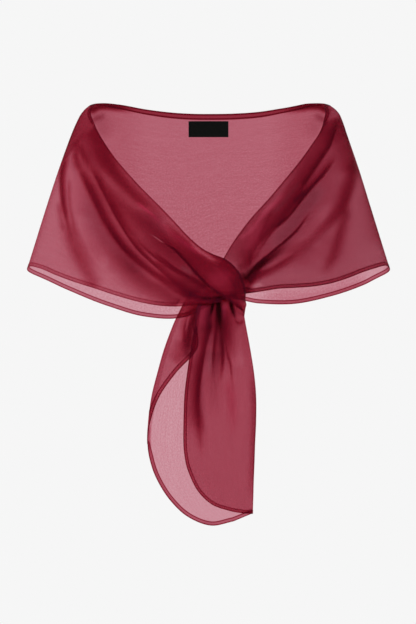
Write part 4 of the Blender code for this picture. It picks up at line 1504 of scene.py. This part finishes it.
    def flap(self, rows: Array, at: TailSection) -> Layer:
        """Lay the curl at the outline and the flap that goes on from it.

        Args:
            rows: Rows of the vertices from the outline.
            at: The section at each vertex.

        Returns:
            The curl and the flap.
        """
        curl = self.curl(at)
        centre = rows_of(at.left_x + curl, at.middle + at.room / 2 - curl, at.left_z)
        bend = math.pi * (0.5 + np.clip(rows / self.curl_rows, 0.0, 1.0))
        rolled = centre + rows_of(np.cos(bend), np.sin(bend), 0 * bend) * curl[:, None]
        share = np.clip((rows - self.curl_rows) / self.flap_rows, 0.0, 1.0)
        flap = rows_of(centre[:, 0] + (at.flap_x - centre[:, 0]) * share, centre[:, 1] - curl,
                       at.left_z)
        cover = Cover.plain(len(rows), self.back_base)
        cover.add(self.flap_creases, flap[:, 0], flap[:, 2])
        places = np.where((rows <= self.curl_rows)[:, None], rolled, flap)
        return Layer(places, cover, share)

    def lay(self, u: Array, v: Array, lip: Array) -> Laid:
        """Lay the folded tail.

        Args:
            u: Shares from the knot to the bottom.
            v: Shares from the front layer's free edge round to the flap's.
            lip: Not used, as the tail has no slit.

        Returns:
            The laid sheet.
        """
        at = self.read(u * (len(self.sections) - 1))
        index = np.rint(v * self.rows).astype(int)
        past = index - self.front_rows - self.back_rows
        front = self.front_layer(index, at)
        back = self.back_layer(index - self.front_rows, at, u)
        flap = self.flap(past, at)
        zones = [index <= self.front_rows, past <= 0]
        places = np.select([zone[:, None] for zone in zones], [front.places, back.places],
                           flap.places)
        cover = Cover(*(np.select(zones, [getattr(layer.cover, name) for layer in (front, back)],
                                  getattr(flap.cover, name))
                        for name in Cover.__annotations__))
        share = np.where(zones[0], front.share, back.share)
        fold = self.fold_layers * rise(*self.fold_line, share)
        cover.layers_and_shading += np.where(past <= 0, fold, 0.0)
        curled = (past > -self.curl_margin) & (past < self.curl_rows)
        cover.layers_and_shading += np.where(curled, self.curl_layers, 0.0)
        self.press(cover, places)
        across = np.where(zones[0], front.share * self.front_width,
                          self.front_width + (1 - back.share) * self.back_width)
        across = np.where(past > 0, self.front_width + self.back_width + past, across)
        hemmed = np.where(zones[0], self.front_hem, self.back_hem)
        front_edge, outline, flap_edge = self.edges(places)
        edge = np.select(zones, (front_edge, outline), flap_edge)
        return Laid(places, cover, edge, hemmed, rows_of(u * self.length, across))

    def press(self, cover: Cover, places: Array) -> None:
        """Press the cloth thin at the tail's top, behind the fronts' hems and under the band.

        Args:
            cover: The tail's cover.
            places: Places of its vertices.
        """
        top = self.hidden_depth - self.hidden_slope * rise(*self.hidden_across, places[:, 0])
        shown = rise(top - self.hidden_above, top + self.hidden_below, -places[:, 2])
        cover.thinned(1.0 - shown)
        cover.thinned(UNDER_LOWER_EDGE.at(places[:, 0], places[:, 2]))

    def edges(self, places: Array) -> tuple[Array, Array, Array]:
        """Measure how far places are from the hemmed edges, as seen from the front.

        Args:
            places: Places of the vertices.

        Returns:
            Distances from the front layer's edge, the back layer's outline, whose hem is
            narrower where it comes out from under the flap, and the flap's edge.
        """
        at = np.linspace(0.0, len(self.sections) - 1, self.edge_points)
        line, tip = self.read(at), at >= self.flap_end
        bottom = (line.fold_x[-1], line.fold_z[-1])
        seen = places[:, [0, 2]]
        front = edge_distance(seen, np.vstack((rows_of(line.front_x, line.front_z), bottom)))
        outline = edge_distance(seen, np.vstack((rows_of(line.left_x, line.left_z)[tip], bottom)))
        flap = edge_distance(seen, rows_of(line.flap_x, line.left_z)[~tip])
        emerging = 1.0 - rise(*self.outline_depth, -seen[:, 1])
        squeeze = 1.0 + (self.outline_squeeze - 1.0) * emerging
        return front * self.front_squeeze, outline * squeeze, flap


@dataclass
class WovenLabel(Sheet):
    """The bare woven label sewn inside the back at the neck."""

    name: str = "woven_label"
    nodes: tuple[str, ...] = ("label",)
    columns: int = 60
    rows: int = 22
    thickness: float = 0.7
    flat: tuple[float, float] = (0.058, 0.023)
    area: float = 0.00133
    slot: str = "label"
    half_width: float = 29.0
    top: float = -12.2
    bottom: float = -35.4
    sunk: float = -1.2
    turned_in: tuple[float, float] = (2.2, 3.6)
    turn_lift: float = 0.25

    def lay(self, u: Array, v: Array, lip: Array) -> Laid:
        """Lay the label on the back's inner face, raised where its ends are turned in.

        Args:
            u: Shares from one end to the other.
            v: Shares from the top to the bottom.
            lip: Not used, as the label has no slit.

        Returns:
            The laid label, which has no hem.
        """
        height = self.top + (self.bottom - self.top) * v
        x = self.half_width * (2 * u - 1)
        from_end = self.half_width - np.abs(x)
        raised = -self.turn_lift * (1.0 - rise(*self.turned_in, from_end))
        angle = FIGURE.angle_at(x, height, True)
        places = FIGURE.place(angle, height, self.sunk + raised)
        none = np.zeros(len(u))
        return Laid(places, Cover.plain(len(u), 0.0), none + FAR_FROM_EDGE, none,
                    rows_of(x, height))

    def thicken(self, piece: bpy.types.Object, laid: Laid) -> None:
        """Give the label its own even thickness.

        Args:
            piece: The label's object.
            laid: Not used, as the label's thickness is even.
        """
        solid = piece.modifiers.new("Thickness", "SOLIDIFY")
        solid.offset = 0.0
        solid.thickness = self.thickness * MM


@dataclass(frozen=True)
class Reading:
    """A number that a material works out at each place, with the operators of arithmetic."""

    graph: "Graph"
    socket: bpy.types.NodeSocket

    def _with(self, operation: str, first: object, second: object) -> "Reading":
        """Work out a step that this number is in."""
        return self.graph.maths(operation, first, second)

    def __add__(self, other: object) -> "Reading":
        """This number plus another."""
        return self._with("ADD", self, other)

    __radd__ = __add__

    def __sub__(self, other: object) -> "Reading":
        """This number less another."""
        return self._with("SUBTRACT", self, other)

    def __rsub__(self, other: object) -> "Reading":
        """Another number less this one."""
        return self._with("SUBTRACT", other, self)

    def __mul__(self, other: object) -> "Reading":
        """This number times another."""
        return self._with("MULTIPLY", self, other)

    __rmul__ = __mul__

    def __truediv__(self, other: object) -> "Reading":
        """This number over another."""
        return self._with("DIVIDE", self, other)

    def __rpow__(self, other: float) -> "Reading":
        """Another number to the power of this one."""
        return self._with("POWER", other, self)

    def __abs__(self) -> "Reading":
        """This number without its sign."""
        return self._with("ABSOLUTE", self, 0.0)

    def held(self) -> "Reading":
        """The same number kept between 0 and 1."""
        made = self.graph.node("ShaderNodeMath", {"operation": "ADD", "use_clamp": True},
                               {0: self, 1: 0.0})
        return Reading(self.graph, made.outputs[0])


@dataclass
class Graph:
    """The nodes of one material."""

    tree: bpy.types.NodeTree

    def node(self, kind: str, settings: dict[str, object],
             inputs: dict[int | str, object]) -> bpy.types.Node:
        """Add a node.

        Args:
            kind: The node's type.
            settings: Its properties.
            inputs: A value, a reading or an output for each of its sockets.

        Returns:
            The node.
        """
        made = self.tree.nodes.new(kind)
        for name, value in settings.items():
            setattr(made, name, value)
        for key, value in inputs.items():
            if isinstance(value, Reading):
                value = value.socket
            if isinstance(value, bpy.types.NodeSocket):
                self.tree.links.new(value, made.inputs[key])
            else:
                made.inputs[key].default_value = value
        return made

    def maths(self, operation: str, first: object, second: object) -> Reading:
        """Work out one step of arithmetic."""
        made = self.node("ShaderNodeMath", {"operation": operation}, {0: first, 1: second})
        return Reading(self, made.outputs[0])

    def attribute(self, name: str) -> Reading:
        """Read a number that is painted on the mesh."""
        made = self.node("ShaderNodeAttribute", {"attribute_name": name}, {})
        return Reading(self, made.outputs["Fac"])

    def noise(self, stretch: tuple[float, float, float], detail: float = 1.0) -> Reading:
        """Add noise over the cloth's own map.

        Args:
            stretch: Cells per metre along the cloth and across it.
            detail: How many finer noises it has.

        Returns:
            The noise, from 0 to 1.
        """
        cloth_map = self.node("ShaderNodeUVMap", {"uv_map": "cloth"}, {})
        spread = self.node("ShaderNodeVectorMath", {"operation": "MULTIPLY"},
                           {0: cloth_map.outputs[0], 1: stretch})
        made = self.node("ShaderNodeTexNoise", {},
                         {"Vector": spread.outputs[0], "Scale": 1.0, "Detail": detail})
        return Reading(self, made.outputs[0])

    def tinted(self, share: Reading, first: object, second: object) -> bpy.types.NodeSocket:
        """Mix two colours by a share of the second."""
        made = self.node("ShaderNodeMix", {"data_type": "RGBA"},
                         {0: share, 6: first, 7: second})
        return made.outputs[2]

    def mix(self, share: Reading, first: bpy.types.NodeSocket,
            second: bpy.types.NodeSocket) -> bpy.types.NodeSocket:
        """Mix two shaders by a share of the second."""
        made = self.node("ShaderNodeMixShader", {}, {0: share, 1: first, 2: second})
        return made.outputs[0]


def emptied(owner: bpy.types.Material | bpy.types.World) -> Graph:
    """Clear the nodes of a material or a world, ready for its own."""
    owner.use_nodes = True
    owner.node_tree.nodes.clear()
    return Graph(owner.node_tree)


@dataclass(frozen=True)
class Organza:
    """A sheer cloth: what one layer lets through, how its threads look in the light, and the
    colours of its painted shade and painted highlights.

    passes is the share of red, green and blue that one layer lets through, stops the numbers of
    layers between which it is mixed, and body how much of a layer is threads that show. The
    three noises are given in cells per metre along and across. A hem's two lines, its fold and
    its stitches, are each a distance from the edge and a reach, in millimetres.
    """

    passes: tuple[float, float, float] = (0.66, 0.275, 0.337)
    stops: tuple[float, ...] = (0.0, 0.6, 1.3, 2.1, 3.2, 4.6, 7.0)
    threads: Colour = (0.20, 0.006, 0.036, 1.0)
    # Colour of painted shade.
    shade_colour: Colour = (0.012, 0.001, 0.002, 1.0)
    # Colour of painted highlights.
    highlight_colour: Colour = (0.60, 0.03, 0.10, 1.0)
    body: float = 0.10
    roughness: float = 0.45
    sheen: float = 0.08
    sheen_roughness: float = 0.4
    sheen_tint: Colour = (0.9, 0.25, 0.35, 1.0)
    specular: float = 0.2
    specular_tint: Colour = (0.95, 0.35, 0.42, 1.0)
    shade_roughness: float = 0.9
    shade_depth: float = 2.0
    grain: float = 0.32
    grain_cells: tuple[float, float, float] = (420.0, 520.0, 1.0)
    slub: float = 0.16
    slub_cells: tuple[float, float, float] = (60.0, 420.0, 1.0)
    streak: float = 0.10
    streak_cells: tuple[float, float, float] = (9.0, 190.0, 1.0)
    relief: float = 0.2
    relief_depth: float = 0.0003
    hem_body: float = 0.4
    hem_margin: float = 0.3
    hem_softness: float = 0.5
    hem_line: float = 0.95
    hem_lines: tuple[tuple[float, float], ...] = ((0.8, 1.2), (5.3, 1.1))

    def hem(self, graph: Graph) -> Reading:
        """Work out the layers that the hem adds, with its fold line and its stitches.

        Args:
            graph: The material's nodes.

        Returns:
            The layers.
        """
        edge = graph.attribute("edge")
        inside = ((HEM.width + self.hem_margin - edge) / self.hem_softness).held()
        fold, seam = ((1 - abs(edge - place) / reach).held() for place, reach in self.hem_lines)
        extra = inside * self.hem_body + (fold + seam) * self.hem_line
        return extra * graph.attribute("hemmed")

    def film(self, graph: Graph, count: float) -> bpy.types.NodeSocket:
        """What a number of layers lets through one face of the shell."""
        colour = tuple(share**(count * FACE_SHARE) for share in self.passes) + (1.0,)
        return graph.node("ShaderNodeBsdfTransparent", {}, {"Color": colour}).outputs[0]

    def through(self, graph: Graph, layers: Reading) -> bpy.types.NodeSocket:
        """Mix what shows through one face of the shell from films of whole numbers of layers.

        Args:
            graph: The material's nodes.
            layers: How many layers there are.

        Returns:
            The shader.
        """
        shown = self.film(graph, self.stops[0])
        keep = self.passes[1]**FACE_SHARE
        for low, high in zip(self.stops, self.stops[1:]):
            share = ((layers - low) / (high - low)).held()
            curved = (1 - keep ** (share * (high - low))) / (1 - keep**(high - low))
            shown = graph.mix(curved, shown, self.film(graph, high))
        return shown

    def material(self) -> bpy.types.Material:
        """Make the cloth's material.

        Returns:
            The material.
        """
        made = bpy.data.materials.new("organza")
        graph = emptied(made)
        grain = graph.noise(self.grain_cells, 0.0)
        slub = graph.noise(self.slub_cells)
        streak = graph.noise(self.streak_cells)
        uneven = (1 + (grain - 0.5) * self.grain + (slub - 0.5) * self.slub
                  + (streak - 0.5) * self.streak)
        layers = graph.attribute("layers_and_shading") * uneven + self.hem(graph)
        # The painted shade and painted highlights that the sheet holds are read here.
        shade, glow = graph.attribute("shade"), graph.attribute("glow")
        body = layers * self.body
        cover = 1 - math.e ** ((body + shade + glow) * -FACE_SHARE)
        # Painted highlights tint the threads towards a bright red.
        colour = graph.tinted(glow / (body + glow), self.threads, self.highlight_colour)
        relief = graph.node("ShaderNodeBump", {}, {
            "Height": grain + slub, "Strength": self.relief, "Distance": self.relief_depth})
        threads = graph.node("ShaderNodeBsdfPrincipled", {}, {
            "Base Color": colour, "Roughness": self.roughness, "Normal": relief.outputs[0],
            "Sheen Weight": self.sheen, "Sheen Roughness": self.sheen_roughness,
            "Sheen Tint": self.sheen_tint, "Specular IOR Level": self.specular,
            "Specular Tint": self.specular_tint})
        # A dark face that stands for painted shade.
        shade_face = graph.node("ShaderNodeBsdfPrincipled", {}, {
            "Base Color": self.shade_colour, "Roughness": self.shade_roughness, "Specular IOR Level": 0.0})
        shade_share = 1 - math.e ** (shade * -self.shade_depth)
        face = graph.mix(shade_share, threads.outputs[0], shade_face.outputs[0])
        shown = graph.mix(cover, self.through(graph, layers), face)
        graph.node("ShaderNodeOutputMaterial", {}, {"Surface": shown})
        return made


@dataclass(frozen=True)
class Satin:
    """The label's close black weave, with fine ribs in cells per metre along and across."""

    colour: Colour = (0.0042, 0.0052, 0.0048, 1.0)
    roughness: float = 0.8
    specular: float = 0.05
    rib_cells: tuple[float, float, float] = (300.0, 2600.0, 1.0)
    relief: float = 0.3
    relief_depth: float = 0.0003

    def material(self) -> bpy.types.Material:
        """Make the label's material.

        Returns:
            The material.
        """
        made = bpy.data.materials.new("woven_black")
        graph = emptied(made)
        ribs = graph.noise(self.rib_cells)
        relief = graph.node("ShaderNodeBump", {}, {
            "Height": ribs, "Strength": self.relief, "Distance": self.relief_depth})
        weave = graph.node("ShaderNodeBsdfPrincipled", {}, {
            "Base Color": self.colour, "Roughness": self.roughness,
            "Specular IOR Level": self.specular, "Normal": relief.outputs[0]})
        graph.node("ShaderNodeOutputMaterial", {}, {"Surface": weave.outputs[0]})
        return made


@dataclass(frozen=True)
class Lamp:
    """A soft square lamp that shines at the stole."""

    name: str
    place: tuple[float, float, float]
    size: float
    power: float


@dataclass(frozen=True)
class Studio:
    """The plain pale studio: camera, lamps, backdrop light and floor."""

    frame_height: float = 0.9048
    centre: tuple[float, float, float] = (-0.0007, 0.0, -0.2893)
    distance: float = 3.0
    floor_height: float = -1.4
    floor_size: float = 12.0
    backdrop: float = 0.922
    ambient: float = 0.75
    floor_colour: Colour = (0.86, 0.86, 0.86, 1.0)
    floor_roughness: float = 0.9
    layers_seen: int = 48
    lamps: tuple[Lamp, ...] = (
        Lamp("key", (-1.4, -2.0, 1.5), 1.6, 36.0),
        Lamp("fill", (1.8, -2.2, 0.4), 2.0, 16.0),
        Lamp("top", (0.2, 0.6, 2.2), 1.8, 18.0),
    )

    def build(self) -> None:
        """Set up the studio."""
        self.camera()
        for lamp in self.lamps:
            self.shine(lamp)
        self.sky()
        self.floor()
        bpy.context.scene.view_settings.view_transform = "Standard"
        bpy.context.scene.cycles.transparent_max_bounces = self.layers_seen

    def camera(self) -> None:
        """A straight view of the front."""
        made = added("camera", bpy.data.cameras.new("camera"))
        made.data.type = "ORTHO"
        made.data.ortho_scale = self.frame_height
        made.location = (self.centre[0], self.centre[1] - self.distance, self.centre[2])
        made.rotation_euler = (math.pi / 2, 0.0, 0.0)
        bpy.context.scene.camera = made

    def shine(self, lamp: Lamp) -> None:
        """Add a lamp and turn it to the middle of the stole.

        Args:
            lamp: The lamp.
        """
        made = added(lamp.name, bpy.data.lights.new(lamp.name, "AREA"))
        made.data.size = lamp.size
        made.data.energy = lamp.power
        made.location = lamp.place
        way = np.array(self.centre) - np.array(lamp.place)
        across = math.hypot(way[0], way[1])
        turn = math.atan2(way[1], way[0]) - math.pi / 2
        made.rotation_euler = (math.atan2(across, -way[2]), 0.0, turn)

    def sky(self) -> None:
        """Backdrop light: pale where it is seen, a little dimmer where it shines."""
        world = bpy.data.worlds.new("studio")
        bpy.context.scene.world = world
        graph = emptied(world)
        seen = graph.node("ShaderNodeLightPath", {}, {}).outputs["Is Camera Ray"]
        strength = self.ambient + Reading(graph, seen) * (self.backdrop - self.ambient)
        light = graph.node("ShaderNodeBackground", {},
                           {"Color": (1.0, 1.0, 1.0, 1.0), "Strength": strength})
        graph.node("ShaderNodeOutputWorld", {}, {"Surface": light.outputs[0]})

    def floor(self) -> None:
        """A plain pale floor, well below the stole."""
        bm = bmesh.new()
        bmesh.ops.create_grid(bm, x_segments=1, y_segments=1, size=self.floor_size / 2)
        for vert in bm.verts:
            vert.co.z = self.floor_height
        mesh = bpy.data.meshes.new("floor")
        bm.to_mesh(mesh)
        bm.free()
        paper = bpy.data.materials.new("pale_floor")
        graph = emptied(paper)
        matt = graph.node("ShaderNodeBsdfPrincipled", {}, {
            "Base Color": self.floor_colour, "Roughness": self.floor_roughness})
        graph.node("ShaderNodeOutputMaterial", {}, {"Surface": matt.outputs[0]})
        mesh.materials.append(paper)
        added("floor", mesh)


def main() -> None:
    """Dress the stole and set up the studio."""
    logging.basicConfig(level=logging.INFO)
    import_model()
    organza = Organza().material()
    for sheet in (BackPanel(), LeftFront(), RightFront(), Tail()):
        piece = sheet.build(organza)
        LOG.info("%s: %d vertices", piece.name, len(piece.data.vertices))
    WovenLabel().build(Satin().material())
    Studio().build()


if __name__ == "__main__":
    main()
